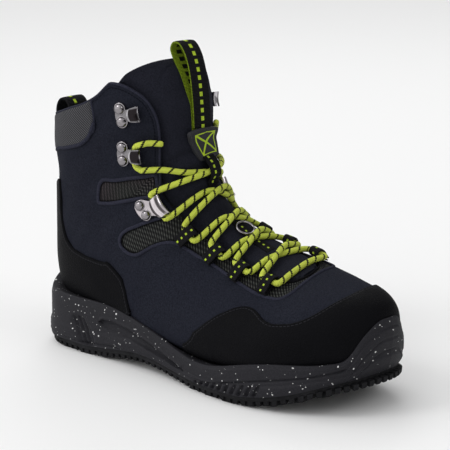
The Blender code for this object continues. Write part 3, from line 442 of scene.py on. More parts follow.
# Materials
def srgb(code):
    """Linear colour from an sRGB hex value."""
    c = np.array([int(code[i:i + 2], 16) for i in (1, 3, 5)]) / 255
    return (*np.where(c <= .04045, c / 12.92, ((c + .055) / 1.055) ** 2.4).tolist(), 1.0)


def add(tree, kind, inputs=(), out=0, **settings):
    """Adds a node with its settings; inputs are values or the sockets that feed them, by place or by name."""
    made = tree.nodes.new("ShaderNode" + kind)
    for key, value in settings.items():
        setattr(made, key, value)
    for key, value in inputs.items() if isinstance(inputs, dict) else enumerate(inputs):
        if isinstance(value, bpy.types.NodeSocket):
            tree.links.new(value, made.inputs[key])
        elif value is not None:
            made.inputs[key].default_value = value
    return made.outputs[out]


def begin(name, roughness, specular=.5, metallic=0.0):
    """Material with its shader's plain sockets set, and its node tree."""
    made = bpy.data.materials.new(name)
    made.use_nodes = True
    for key, value in (("Roughness", roughness), ("Specular IOR Level", specular), ("Metallic", metallic)):
        made.node_tree.nodes["Principled BSDF"].inputs[key].default_value = value
    return made, made.node_tree


def dress(tree, colour, high=None, depth=None, rough=None):
    """Feeds the shader its colour, a bump of that depth in metres where high rises by 1, and its roughness."""
    shader = tree.nodes["Principled BSDF"].inputs
    tree.links.new(colour, shader["Base Color"])
    if high is not None:
        bump = add(tree, "Bump", {"Height": high, "Distance": depth, "Strength": 1.0})
        tree.links.new(bump, shader["Normal"])
    if rough is not None:
        tree.links.new(rough, shader["Roughness"])


def laid(tree, under, over, pattern, low=0.0, high=1.0, most=1.0):
    """Colour over laid on colour under as pattern goes from low to high, up to the share most."""
    share = add(tree, "MapRange", (pattern, low, high, 0.0, most))
    under = srgb(under) if isinstance(under, str) else under
    return add(tree, "Mix", {0: share, 6: under, 7: srgb(over)}, 2, data_type="RGBA")


def grain(tree, cells, detail, rough):
    """Noise fixed to the piece, so many cells in a metre: 900 gives a grain of 1.1 mm."""
    place = add(tree, "TexCoord", out="Object")
    return add(tree, "TexNoise", {"Vector": place, "Scale": cells, "Detail": detail, "Roughness": rough})


def wave(tree, place, along, across, pitch):
    """sin(2 pi (along u + across v) / pitch) of the uv in millimetres."""
    parts = add(tree, "SeparateXYZ", (place,)).node.outputs
    turns = add(tree, "Math", (parts[0], 2 * np.pi * along / pitch), operation="MULTIPLY")
    turns = add(tree, "Math", (parts[1], 2 * np.pi * across / pitch, turns), operation="MULTIPLY_ADD")
    return add(tree, "Math", (turns,), operation="SINE")


def twill(tree, place, pitch):
    """The two diagonal waves of a pitch in millimetres, multiplied: crossing yarns."""
    return add(tree, "Math", (wave(tree, place, 1, 1, pitch), wave(tree, place, 1, -1, pitch)),
               operation="MULTIPLY")


def off_middle(tree, value, pitch):
    """|fract(value / pitch) - 1/2|: 0 in the middle of each repeat."""
    for how, number in (("MULTIPLY", 1 / pitch), ("FRACT", None), ("SUBTRACT", .5), ("ABSOLUTE", None)):
        value = add(tree, "Math", (value, number), operation=how)
    return value


def off_line(tree, value, centre):
    """|value - centre|."""
    return add(tree, "Math", (add(tree, "Math", (value, centre), operation="SUBTRACT"),), operation="ABSOLUTE")


def stitches(tree, inset, pitch, width):
    """Row of stitches at inset millimetres from the edge: 1 on the thread."""
    across = off_line(tree, add(tree, "Attribute", out="Fac", attribute_name="edge_mm"), inset)
    along = off_middle(tree, add(tree, "Attribute", out="Fac", attribute_name="along_mm"), pitch)
    sides = (add(tree, "MapRange", (across, width, width * .5)), add(tree, "MapRange", (along, .40, .32)))
    return add(tree, "Math", sides, operation="MULTIPLY")


def twilled(tree, dark, light, pitch):
    """Colour, yarn and fleck of a twill, drawn coarser than its thread, at pitch millimetres, to show."""
    yarn = twill(tree, add(tree, "UVMap", uv_map="cloth"), pitch)
    fleck = grain(tree, 900, 3, .7)
    tone = add(tree, "Math", (yarn, .22, fleck), operation="MULTIPLY_ADD")
    return laid(tree, dark, light, tone, .30, .72), yarn, fleck


def softshell_and_mesh():
    """Laminated woven softshell, navy, with a dull open knit where the mesh zones are let in."""
    made, tree = begin("navy_softshell", .85, .05)
    uv = add(tree, "UVMap", uv_map="cloth")
    navy, yarn, fleck = twilled(tree, "#13151c", "#282a34", 1.3)
    cloud = grain(tree, 26, 2, .5)
    navy = laid(tree, navy, "#1c1d27", cloud, .35, .75, .35)
    # knit dashes, slanting, in columns 3.6 mm apart and one above the other every 2.4 mm
    columns = add(tree, "MapRange", (wave(tree, uv, 0, 1, 3.6), -.5, .7, .35, 1.0))
    dashes = add(tree, "MapRange", (wave(tree, uv, 1, .6, 2.4), -.4, .7, .1, 1.0))
    knit = add(tree, "Math", (columns, dashes), operation="MULTIPLY")
    hue = laid(tree, "#4a4c49", "#564a50", grain(tree, 14, 1, .5), .42, .58)
    open_knit = add(tree, "Mix", {0: knit, 6: srgb("#0b0b0d"), 7: hue}, 2, data_type="RGBA")
    open_knit = laid(tree, open_knit, "#232124", fleck, .45, .75, .45)
    zone = add(tree, "Attribute", out="Fac", attribute_name="mesh_mm")
    # painted shade: a dark band along the inside of each mesh zone's edge, fading out 1.7 to 3 mm in, where
    # the raised edge and binding shade the sunk knit
    open_knit = laid(tree, open_knit, "#060608", zone, 3.0, 1.7, .85)
    mask = add(tree, "MapRange", (zone, -.15, .15))
    colour = add(tree, "Mix", {0: mask, 6: navy, 7: open_knit}, 2, data_type="RGBA")
    seam = stitches(tree, 3.2, 2.6, .45)
    knit_high = add(tree, "Math", (knit, .9), operation="MULTIPLY")
    soft_high = add(tree, "Math", (yarn, .18, fleck), operation="MULTIPLY_ADD")
    high = add(tree, "Mix", {0: mask, 2: soft_high, 3: knit_high}, data_type="FLOAT")
    high = add(tree, "Math", (seam, -1.2, high), operation="MULTIPLY_ADD")
    dress(tree, laid(tree, colour, "#101119", seam), high, .00032)
    return made


def plain_softshell(name, dark, light, pitch=1.3):
    """The same softshell without the mesh zones."""
    made, tree = begin(name, .86, .07)
    colour, yarn, fleck = twilled(tree, dark, light, pitch)
    cloud = grain(tree, 22, 2, .5)
    high = add(tree, "Math", (yarn, .3, fleck), operation="MULTIPLY_ADD")
    dress(tree, laid(tree, colour, dark, cloud, .4, .8, .4), high, .0003)
    return made


def microfibre():
    """Microfibre synthetic, pressed and matt: fine pebbled grain, lighter on the crests, a stitched edge."""
    made, tree = begin("black_microfibre", .62, .04)
    place = add(tree, "TexCoord", out="Object")
    skin = grain(tree, 1400, 4, .65)
    cells = add(tree, "TexVoronoi", {"Vector": place, "Scale": 900}, "Distance")
    cloud = grain(tree, 40, 3, .55)
    colour = laid(tree, laid(tree, "#070709", "#101013", skin, .35, .8), "#101013", cloud, .35, .8, .45)
    seam_inset = 2.2
    thread = stitches(tree, seam_inset, 2.8, .42)
    edge = add(tree, "Attribute", out="Fac", attribute_name="edge_mm")
    groove = add(tree, "MapRange", (off_line(tree, edge, seam_inset), .8, .2))
    high = add(tree, "Math", (cells, .8, skin), operation="MULTIPLY_ADD")
    for part, rise in ((groove, -1.0), (thread, 1.4)):
        high = add(tree, "Math", (part, rise, high), operation="MULTIPLY_ADD")
    rough = add(tree, "MapRange", (cloud, .3, .8, .62 - .08, .62 + .1))
    dress(tree, laid(tree, colour, "#2a2a2e", thread, most=.8), high, .00028, rough)
    return made


def foam():
    """Moulded EVA, charcoal, with white rubber crumbs up to 2 mm across pressed into its skin."""
    made, tree = begin("charcoal_eva_foam", .62, .14)
    place = add(tree, "TexCoord", out="Object")
    shift = add(tree, "TexNoise", {"Vector": place, "Scale": 260, "Detail": 1.0}, "Color")
    bent = add(tree, "Mix", {0: .0022, 6: place, 7: shift}, 2, data_type="RGBA")
    skin = grain(tree, 1100, 3, .6)
    cloud = grain(tree, 45, 2, .5)
    colour = laid(tree, laid(tree, "#1a1a1e", "#2c2b30", skin, .3, .8), "#1f1f23", cloud, .35, .75, .4)
    marks = 0.0
    for scale, radius, bare_share in ((165, .17, .60), (300, .22, .68), (480, .26, .72)):
        cell = add(tree, "TexVoronoi", {"Vector": bent, "Scale": scale, "Randomness": 1.0}).node.outputs
        picked = add(tree, "SeparateColor", (cell["Color"],))
        size = add(tree, "MapRange", (picked, bare_share, 1.0, 0.0, radius))
        gap = add(tree, "Math", (size, cell["Distance"]), operation="SUBTRACT")
        ends = (add(tree, "MapRange", (gap, -.01, .03)),
                add(tree, "MapRange", (picked, bare_share - .01, bare_share + .01)))
        marks = add(tree, "Math", (marks, add(tree, "Math", ends, operation="MULTIPLY")), operation="MAXIMUM")
    dress(tree, laid(tree, colour, "#dcdcdc", marks, most=.9), skin, .00018)
    return made


def rubber():
    """Vulcanised rubber, black, with a faint bloom and the fine texture of its mould."""
    made, tree = begin("black_rubber", .74, .12)
    cloud = grain(tree, 60, 3, .6)
    skin = grain(tree, 1500, 3, .6)
    dress(tree, laid(tree, "#141416", "#232326", cloud, .35, .8), skin, .0002)
    return made


def webbing(name, dark, light, mark, pitch, length, centre, half):
    """Woven polyester tape: ribs across it, herringbone along it, marks woven in at centre across it."""
    made, tree = begin(name, .8, .08)
    uv = add(tree, "UVMap", uv_map="cloth")
    ribs = wave(tree, uv, 1, 0, 1.1)
    fleck = grain(tree, 1200, 2, .6)
    colour = laid(tree, laid(tree, dark, light, fleck, .3, .8), "#050506", ribs, -.2, -1.0, .6)
    parts = add(tree, "SeparateXYZ", (uv,)).node.outputs
    share = length / pitch / 2
    ends = (add(tree, "MapRange", (off_middle(tree, parts[0], pitch), share + .03, share - .03)),
            add(tree, "MapRange", (off_line(tree, parts[1], centre), half + .15, half - .15)))
    colour = laid(tree, colour, mark, add(tree, "Math", ends, operation="MULTIPLY"))
    dress(tree, colour, add(tree, "Math", (twill(tree, uv, 2.2), .5, ribs), operation="MULTIPLY_ADD"), .0002)
    return made


def lime_cord():
    """Braided polyester cord, lime, with black tracer yarns that surface as slanting zigzags every 9.2 mm."""
    made, tree = begin("lime_braided_cord", .66, .2)
    uv = add(tree, "UVMap", uv_map="cloth")
    braid = twill(tree, uv, 1.7)
    fleck = grain(tree, 1300, 2, .6)
    colour = laid(tree, laid(tree, "#abb93a", "#dde95e", braid, -1, .6), "#c3d24a", fleck, .5, .9, .5)
    repeat, girth = 9.2, np.pi * LACE_SEEN / MM
    length, turned = add(tree, "SeparateXYZ", (uv,)).node.outputs[:2]
    zig = add(tree, "Math", (turned, .62), operation="PINGPONG")
    slope = add(tree, "Math", (turned, repeat / girth), operation="MULTIPLY")
    slope = add(tree, "Math", (zig, -1.35, slope), operation="MULTIPLY_ADD")
    tracer = off_middle(tree, add(tree, "Math", (length, slope), operation="ADD"), repeat)
    dress(tree, laid(tree, colour, "#1c2208", tracer, .112, .082), braid, .00025)
    return made


def steel(name, dark, light, rough):
    """Nickel-plated steel, pressed and polished: mirror-like, with a painted highlight in its light colour
    where the rim attribute is 1.
    """
    made, tree = begin(name, rough, metallic=1.0)
    scuff = grain(tree, 90, 2, .5)
    colour = laid(tree, dark, light, add(tree, "Attribute", out="Fac", attribute_name="rim"))
    dress(tree, laid(tree, colour, dark, scuff, .4, .7, .25),
          rough=add(tree, "MapRange", (scuff, .3, .75, rough - .02, rough + .04)))
    return made


def ribbed():
    """Stretch cloth with raised diagonal ribs 1.8 mm apart, charcoal grey."""
    made, tree = begin("grey_ribbed_fabric", .8, .1)
    uv = add(tree, "UVMap", uv_map="cloth")
    ribs, cross = wave(tree, uv, .8, -.6, 1.8), wave(tree, uv, .6, .8, 1.8)
    fleck = grain(tree, 1100, 2, .6)
    colour = laid(tree, laid(tree, "#222225", "#565659", ribs, -.7, .6), "#404044", fleck, .45, .85, .5)
    dress(tree, colour, add(tree, "Math", (cross, .25, ribs), operation="MULTIPLY_ADD"), .0003)
    return made


def knit_lining():
    """Brushed knit lining, near black, with loops 1.6 by 2 mm."""
    made, tree = begin("black_knit_lining", .92, .06)
    uv = add(tree, "UVMap", uv_map="cloth")
    loops = add(tree, "Math", (wave(tree, uv, 1, 0, 1.6), wave(tree, uv, 0, 1, 2.0)), operation="MULTIPLY")
    fleck = grain(tree, 1000, 3, .6)
    colour = laid(tree, laid(tree, "#101013", "#232328", loops, -.6, .8), "#2c2c32", fleck, .5, .9, .6)
    dress(tree, colour, loops, .00035)
    return made


def moulded_patch():
    """Moulded rubber patch, charcoal, with a box and cross of lime thread sewn through it."""
    made, tree = begin("charcoal_moulded_patch", .62, .12)
    skin = grain(tree, 1200, 3, .6)
    thread = add(tree, "Attribute", out="Fac", attribute_name="thread")
    colour = laid(tree, laid(tree, "#27272a", "#39393d", skin, .3, .8), "#a9c42e", thread, .35, .65)
    dress(tree, colour, add(tree, "Math", (thread, 1.0, skin), operation="MULTIPLY_ADD"), .00025)
    return made


SOFTSHELL = softshell_and_mesh()
PIPING = plain_softshell("navy_binding", "#20212b", "#373846", 1.0)
TONGUE = plain_softshell("navy_tongue_cloth", "#15161d", "#272832")
MESH_EDGE = plain_softshell("black_binding", "#0b0b0d", "#19191c", 1.0)
MICROFIBRE, FOAM, RUBBER, CORD = microfibre(), foam(), rubber(), lime_cord()
# painted light on the steels: their light colours are painted highlights where the rim attribute is 1, and the
# hooks' near-black colour is a painted dark reflection of their surroundings
STEEL = steel("nickel_steel_painted_reflections", "#2b2729", "#c9c6ca", .16)
STEEL_BRIGHT = steel("nickel_plated_steel", "#544f51", "#cdc6c9", .22)
STEEL_DOME = steel("nickel_plated_rivet", "#8f8b8e", "#c9c6ca", .13)
RIBBED, LINING, PATCH = ribbed(), knit_lining(), moulded_patch()
# Tapes: colours, then the marks' repeat, length, place across and half width in millimetres
TAPE = webbing("black_tape_dotted", "#101012", "#222225", "#b2cc3a", 4.6, 1.5, 4.2, .75)
TAPE_DASHED = webbing("black_tape_dashed", "#101012", "#222225", "#b2cc3a", 6.0, 3.2, 7.6, 1.3)
TAPE_LIME = webbing("lime_tape_dashed", "#5f7316", "#8ea526", "#0d0f06", 6.0, 3.4, 24.6, 2.3)
TAPE_KEEPER = webbing("black_tape_keeper", "#101012", "#1d1d20", "#b2cc3a", 4.2, 2.2, 4.7, 1.1)


# Outline of the sole and the edges that follow from it
def outline(count):
    """Closed line round the sole: outer side heel to toe, inner side back; columns x, y, wall top, bottom."""
    x = SOLE[:, 0] / 100
    low = SOLE[:, 4] / 100 * np.where(x > .70, TOE_SPRING, np.where(x > .2, ARCH_RISE, HEEL_RISE))
    top = SOLE[:, 3] / 100 * BUMPER_HEIGHT
    sides = [np.c_[x * LENGTH - HEEL_CENTRE, SOLE[:, c] / 100 * BALL_WIDTH, top, low] for c in (1, 2)]
    ring = np.concatenate([sides[0], sides[1][::-1]])
    share = np.linspace(3, len(ring) + 3, 6000) / (len(ring) + 6)
    dense = table(np.concatenate([ring[-3:], ring, ring[:4]]), share)[:-1]
    wrapped = np.concatenate([dense, dense[:1]])
    run = length_along(wrapped[:, :2])
    return sampled(wrapped, run, np.linspace(0, run[-1], count, endpoint=False))


OUTLINE = outline(900)


def outwards(line):
    """Unit vectors in the floor's plane, square to the sole's outline and away from its middle."""
    ahead = unit(np.roll(line[:, :2], -1, 0) - np.roll(line[:, :2], 1, 0))
    out = np.c_[ahead[:, 1], -ahead[:, 0]]
    return out if ((line[:, :2] - line[:, :2].mean(0)) * out).sum() > 0 else -out


def wall_top(points):
    """Height of the sole's wall at the place of its outline nearest to each point."""
    return OUTLINE[::3, 2][closest(points[..., :2], OUTLINE[::3, :2])[1]]


def first_below(s, sign, height, low=40.0):
    """Angle past low where the form first sinks below height(points); 180 where it never does."""
    a = np.linspace(low, 180, 281)
    p = at(s[:, None], sign * a[None])
    gap = p[..., 2] - height(p)
    under = gap < 0
    k = np.argmax(under, 1)
    rows, before = np.arange(len(s)), np.maximum(k - 1, 0)
    g0, g1 = gap[rows, before], gap[rows, k]
    t = np.where(g0 > g1, g0 / np.maximum(g0 - g1, 1e-9), 0)
    return np.where(under.any(1), a[before] + np.clip(t, 0, 1) * (a[1] - a[0]), 180.0)


def feather(s, sign):
    """Angle where the form reaches the feather edge above its underside."""
    under = bare(np.minimum(s, .60), np.pi)[:, 2] + INSOLE_RISE
    return first_below(s, sign, lambda p: under[:, None], 88.0)


def collar_puff(s, a):
    """Swell of the padded collar behind the ankle."""
    return .0012 * bell(s, .905, .028) * ease(np.abs(a), 78, 105)


def upper():
    """Shell of softshell and mesh: mesh zones sunk by 0.7 mm, creases, swells and a padded collar."""
    s_rows = spans((0, .236, 46), (.236, .300, 34), (.300, COLLAR_TOP, 118))
    ridge = s_rows <= THROAT_FOOT
    starts = [np.where(ridge, 0, on(rows, s_rows)) for rows in THROATS]
    stops = [feather(s_rows, sign) for sign in MIRROR]
    shut = (stops[0] >= 180) | (stops[1] >= 180)
    grids = patch(s_rows, starts, [np.where(shut, 180, v) for v in stops], 98)
    zones = [np.concatenate([curve(VAMP_EDGE, 300), curve(BAND_TOP * MIRROR, 90), [(.524, -30), (.524, 30)],
                             curve(BAND_TOP, 90)[::-1]]), curve(WINDOW, 160), curve(WINDOW * MIRROR, 160)]
    edges = np.concatenate([at(*curve(rows, count).T) for rows, count in (
        (VAMP_EDGE, 700), (BAND_TOP, 200), (BAND_TOP * MIRROR, 200), (WINDOW, 320), (WINDOW * MIRROR, 320))])
    open_rows = s_rows[s_rows >= THROAT_FOOT]
    outer, inner, mesh_mm, edge_mm, along_mm = [], [], [], [], []
    for (s, a), sign, throat in zip(grids, MIRROR, THROATS):
        size = np.abs(a)
        collar = np.interp(size, *COLLAR.T)
        s = np.where(s > .87, .87 + (s - .87) * (collar - .87) / (COLLAR_TOP - .87), s)
        p, n = form(s, a)
        gap, _ = nearest(p, edges)
        is_mesh = inside(s, a, zones[0]) | inside(s, a, zones[1]) | inside(s, a, zones[2])
        signed = np.where(is_mesh, gap, -gap)
        off = -.0007 * ease(signed, -.2, 1.4) + collar_puff(s, a)
        for rows, width, depth in CREASES:
            d, _ = nearest(p, at(*(curve(rows, 60) * (1, sign)).T))
            trough = bell(d, 0, width * .28) - .35 * bell(d, 0, width * .6)
            off = off - depth * MM * trough * (1 - ease(d, width * .4, width))
        ripple = np.sin(s * 61 + a * .05 * sign) * np.sin(a * .11 + 2.1 * s) + .6 * np.sin(s * 113 - a * .07)
        off = off + .00035 * ripple * ease(size, 30, 60)
        d_throat, along = nearest(p, at(open_rows, sign * on(throat, open_rows)))
        collar_gap = np.abs((collar - s) * 380)
        outer.append(p + n * off[..., None])
        inner.append(at(s, a, -WALL - .0030 * bell(s, .915, .030) * ease(size, 70, 100)))
        mesh_mm.append(signed)
        edge_mm.append(np.minimum(d_throat, np.where(size > 60, collar_gap, 99)))
        along_mm.append(np.where(d_throat < collar_gap, along, size * .8))
    close("upper_shell", outer, inner, [SOFTSHELL, LINING], ridge, shut, True,
          {"mesh_mm": mesh_mm, "edge_mm": edge_mm, "along_mm": along_mm}, "upper")


upper()

# Bindings round the mesh zones and the free edge
for sign, side in SIDES:
    piping("window_binding_" + side, WINDOW * (1, sign), 2.9 * MM, 1.0 * MM, 150, closed=True)
    top = COLLAR[COLLAR[:, 0] > 70][:, ::-1]
    c = curve(np.concatenate([THROATS[0 if sign > 0 else 1], top]) * (1, sign), 420)
    line, n = form(c[:, 0], c[:, 1], -WALL / 2)
    across = square_to(line, n)
    split = int(np.argmin(np.abs(c[:, 0] - .585) + 9 * (np.abs(c[:, 1]) > 60)))
    for part, run, wide, material in (("throat_edge_", slice(0, split + 2), 1.3, MESH_EDGE),
                                      ("quarter_edge_", slice(split, None), 2.0, PIPING)):
        profile = round_profile(wide * MM, 4.0 * MM, 16, 2.6)
        sweep(part + side, line[run], across[run], n[run], profile, material)
piping("vamp_binding", np.concatenate([(BAND_TOP * MIRROR)[:0:-1], VAMP_EDGE[::-1], BAND_TOP[1:]]),
       2.6 * MM, 1.0 * MM, 700)


# Overlays
def overlay(name, s, start, cols, top=(), node=(), nose=False):
    """Pressed overlay from its upper edge down into the sole, with a quarter round of 1.3 mm at the edge."""
    stop = [first_below(s, sign, lambda p: wall_top(p) - .0035) for sign in MIRROR]
    back = (stop[0] >= 180) | (stop[1] >= 180)
    stop = [np.where(back, 180, np.maximum(v, start + .5)) for v in stop]
    if nose:
        stop = [np.convolve(np.pad(v, 5, "edge"), np.ones(11) / 11, "valid") for v in stop]
    grids = patch(s, [start, start], stop, cols)
    rim = [(a, b) for a, b in zip(s, start) if b > 0] + list(top)
    line = at(*curve([(a, -b) for a, b in rim][::-1] + rim, 900).T)
    edge, along = zip(*(nearest(at(*grid), line) for grid in grids))
    outs = [at(*grid, OVERLAY_OFF + OVERLAY_THICK * quarter_round(d, 1.3)) for grid, d in zip(grids, edge)]
    ins = [at(*grid, OVERLAY_OFF - .0012) for grid in grids]
    close(name, outs, ins, [MICROFIBRE], start <= 0, back, nose, {"edge_mm": edge, "along_mm": along}, node)


s_rand = spans((0, .146, 36), (.146, .18, 30), (.18, .400, 66))
overlay("toe_rand_wrap", s_rand, np.where(s_rand <= .148, 0, on(RAND, s_rand)), 60, node="toe_rand", nose=True)
s_counter = spans((.497, .60, 40), (.60, .80, 52), (.80, .832, 18))
overlay("heel_counter_wrap", s_counter, on(COUNTER, s_counter), 56,
        [(.832, a) for a in np.linspace(140, 180, 12)], "heel_counter")


def heel_patch():
    """Ribbed pad behind the collar, from its low edge to the collar's top, with a binding and two seams."""
    phi = np.linspace(87, 273, 150)
    turned = np.where(phi > 180, phi - 360, phi)
    size = np.abs(turned)
    low_edge = np.interp(size, [86, 88, 92, 97, 110, 126, 150, 180],
                         [.900, .868, .859, .857, .868, .882, .889, .891])
    high_edge = np.interp(size, *COLLAR.T) - .0015
    s = low_edge + (high_edge - low_edge) * np.linspace(0, 1, 44)[:, None]
    a = np.broadcast_to(turned, s.shape)
    p = at(s, a)
    lift = quarter_round(np.minimum(from_ends(p, 0), from_ends(p, 1)), 3.0)
    straight = np.stack([p[..., 2] / MM, np.broadcast_to(run_of(p, 1)[len(p) // 2], s.shape)], -1)
    puff = collar_puff(s, a) * (1 - .8 * ease(np.abs(a), 130, 175))
    sheet_solid("heel_patch_pad", at(s, a, .0004 + puff + .0010 * lift), at(s, a, puff - .0010), [RIBBED],
                "heel_patch", straight)
    line = curve(at(low_edge[::3], turned[::3], .0010), 220)
    n = unit(curve(form(low_edge[::3], turned[::3])[1], 220))
    sweep("heel_patch_binding", line, square_to(line, n), n, round_profile(3.0 * MM, 2.4 * MM, 14), PIPING)
    for sign, side in SIDES:
        places = np.array([(.862, 91.5), (.868, 88.3), (.885, 87.2), (.91, 86.8), (.934, 87)]) * (1, sign)
        piping("heel_patch_seam_" + side, places, 1.8 * MM, .9 * MM, 60, .0004)


heel_patch()

# Tongue
TONGUE_TOP = [(.900, 75), (.925, 73), (.942, 69), (.954, 63), (.963, 56), (.970, 47), (.977, 34), (.983, 20),
              (.987, 5)]
TONGUE_SEAMS = ([(.574, 44), (.548, 40), (.521, 36)], [(.557, 28), (.536, 25), (.516, 23)],
                [(.476, 4), (.458, 1), (.441, -1)], [(.477, 21), (.462, 19), (.448, 18)],
                [(.66, 36), (.64, 12), (.63, -12), (.65, -36)], [(.50, 30), (.49, 8), (.49, -12), (.50, -34)],
                [(.90, 30), (.93, 24), (.955, 10), (.955, -10), (.93, -24), (.90, -30)])


def tongue():
    """Padded tongue behind the throat: quilting seams, swells over the instep and a rounded edge of 4.5 mm."""
    ts = np.concatenate([np.linspace(.250, .90, 128), np.linspace(.90, .987, 34)[1:]])
    wide = [np.interp(ts, [.250, .285, .35, .466, .59, .77, .90], w) for w in
            ((20, 27, 34, 45, 56, 66, 75), (26, 33, 40, 50, 58, 66, 75))]
    wide = [np.where(ts > .90, on(TONGUE_TOP, ts), w)[:, None] for w in wide]
    share = np.linspace(-1, 1, 91)
    a = np.where(share > 0, share * wide[0], share * wide[1])
    s = np.repeat(ts[:, None], len(share), 1)
    rims = [on(rows, np.minimum(ts, COLLAR_TOP))[:, None] for rows in THROATS]
    reach = np.where(s < .945, np.where(share > 0, rims[0], rims[1]) - 2.0, 64)
    risen = np.clip((reach - np.abs(a)) / np.interp(s, [.25, .30, .38, .46], [2.5, 3.5, 5, 9]), 0, 1)
    thick = np.interp(ts, [.250, .35, .6, .9, .987], [.003, .0045, .0065, .0065, .0055])[:, None]
    p = at(s, a)
    rounding = thick * .40 * (1 - quarter_round(np.minimum(from_ends(p, 1), from_last(p, 0)), 4.5))
    groove = np.zeros(s.shape)
    for rows in TONGUE_SEAMS:
        groove = np.maximum(groove, bell(nearest(p, at(*curve(rows, 80).T))[0], 0, .9))
    swell = .0008 * np.sin((s - .26) * 95) * (np.abs(a) < 60) * ease(s, .30, .40) * (1 - ease(s, .60, .72))
    depth = (WALL + .0010) - (WALL + .0007) * risen + .0034 * bell(a, 2, 26) * ease(s, .79, .87)
    depth = depth - .0012 * (1 - ease(s, .38, .46)) * risen
    top = at(s, a, -depth + swell * risen - .0007 * groove - rounding)
    low = at(s, a, -(WALL + .0010) - thick + rounding)
    return sheet_solid("tongue_pad", top, low, [TONGUE, LINING], "tongue")


tongue_pad = tongue()


# Sole
def carving(x, y, z, top):
    """Depth in metres cut in the wall: pocket, lens, ribs and steps; x from the heel's back, z up, in mm."""
    def groove(x0, z0, x1, z1, width):
        t = np.clip(((x - x0) * (x1 - x0) + (z - z0) * (z1 - z0)) / ((x1 - x0) ** 2 + (z1 - z0) ** 2), 0, 1)
        return np.exp(-(np.hypot(x - x0 - t * (x1 - x0), z - z0 - t * (z1 - z0)) / width) ** 4)

    side = (np.abs(y) > 12) | (x > 60)
    pocket = groove(52, 24, 62, 12.5, 7.2) * side
    cut = 1.7 * pocket
    for k in range(4):
        cut += 1.9 * groove(46.5 + 5.2 * k, 28.0, 56 + 5.2 * k, 8.5, 1.15) * pocket
    centre = np.interp(x, [74, 90, 110, 130, 150, 170], [29, 28.6, 26, 21.5, 17, 13])
    half = np.interp(x, [74, 79, 92, 115, 140, 160, 172], [0, 3.4, 4.0, 3.4, 2.4, 1.4, 0])
    lens = np.clip(1 - ((z - centre) / np.maximum(half, .1)) ** 2, 0, 1)
    cut += 2.6 * lens ** .5 * (half > .2) * side
    cut -= .9 * bell(z - centre - half, 1.1, 1.0) * (half > .6) * side
    step = np.interp(x, [0, 30, 60, 88, 123, 160, 193, 245, 277, 300, 312],
                     [10, 10, 10.5, 14, 13, 9.5, 9.5, 21, 27.5, 33.5, 37])
    rear = 1 - ease(x, 150, 165)
    cut += .9 * (1 - ease(z, step - 1.2, step)) * rear - .4 * bell(z - step, .8, .8) * rear
    for x0 in 180 + 6.6 * np.arange(10):
        foot, head = (np.interp(x0, [178, 232, 248], ends) for ends in ((3.0, 7.0, 10.0), (8.0, 16.0, 18.5)))
        cut += 2.2 * groove(x0, foot, x0 + 4.5, head, 1.35)
    line = np.interp(x, [150, 193, 206, 245, 277, 300], [10.5, 10.5, 12.5, 22, 28.5, 35])
    cut += 1.3 * bell(z, line, .8) * ease(x, 176, 192) * (1 - ease(x, 298, 306))
    cut += 1.0 * ease(z, top - 6.0, top - 5.0) * ease(x, 292, 300)
    cut += .7 * bell(z, top - 13, .7) * ease(x, 297, 301) + .8 * bell(z, top - 22.0, .7) * ease(x, 301, 306)
    return cut * MM


def ledge(ring, out, top):
    """How far out from the outline, so mostly negative, the form stands at the wall's top."""
    s, a = np.meshgrid(np.linspace(0, .80, 260), np.linspace(-180, 180, 361), indexing="ij")
    p = at(s, a, OVERLAY_OFF).reshape(-1, 3)
    found = np.empty(len(ring))
    for k in range(len(ring)):
        level = p[np.abs(p[:, 2] - top[k] + .0004) < .0012][:, :2] - ring[k, :2]
        depth = level @ out[k]
        near = depth[(np.abs(level @ np.array([-out[k, 1], out[k, 0]])) < .0022) & (depth > -.03)]
        found[k] = near.max() if len(near) else -.006
    return np.convolve(np.pad(found, 12, "wrap"), np.ones(25) / 25, "valid")


def cup():
    """Closed ring: the outer wall with its carving, the rounded lip, and an inner wall behind it."""
    ring, out = OUTLINE, outwards(OUTLINE)
    base, top = ring[:, 3] + LUG_DEPTH + TREAD + .0002, ring[:, 2]
    x = ring[:, :1] + HEEL_CENTRE
    toe = np.clip((x - .80 * LENGTH) / (.2 * LENGTH), 0, 1) ** 2
    share = np.linspace(0, 1, 46)
    z = base[:, None] + (top - base)[:, None] * share
    lean = np.interp(share, [0, .18, .30, .36, .9, 1], [.0012, .0018, .0016, .0006, .0004, -.0004])
    tuck = np.interp(share, [0, .3, .6, 1], [-.0060, -.0026, -.0006, 0])
    wide = [column / MM + 0 * z for column in (x, ring[:, 1:2], z, top[:, None])]
    flare = lean[None] + tuck[None] * toe - carving(*wide) * ease(share, .0, .05)
    lip = np.linspace(0, np.pi / 2, 7)[1:]
    lip_z, lip_out = top[:, None] + .0012 * np.sin(lip), flare[:, -1:] - .0014 * (1 - np.cos(lip))
    reach, face = ledge(ring, out, top), flare[:, -1]
    back = ((top + .0010, face - .0026), (top - .0002, np.minimum(reach + .0006, face - .0030)),
            (top - .0012, np.minimum(reach - .0006, face - .0034)),
            (top - .0040, np.minimum(reach - .0006, face - .0036)),
            (base + .004, np.minimum(reach, -.0065)), (base, np.minimum(reach, -.0065)))
    back_z, back_out = (np.stack(columns, -1) for columns in zip(*back))
    height, offset = np.concatenate([z, lip_z, back_z], 1), np.concatenate([flare, lip_out, back_out], 1)
    grid = np.concatenate([ring[:, None, :2] + out[:, None] * offset[..., None], height[..., None]], -1)
    index = np.arange(grid[..., 0].size).reshape(grid.shape[:2])
    make("midsole_cup", grid.reshape(-1, 3), rounds(index, np.roll(index, -1, 0)), FOAM, node="midsole",
         sharp=60)


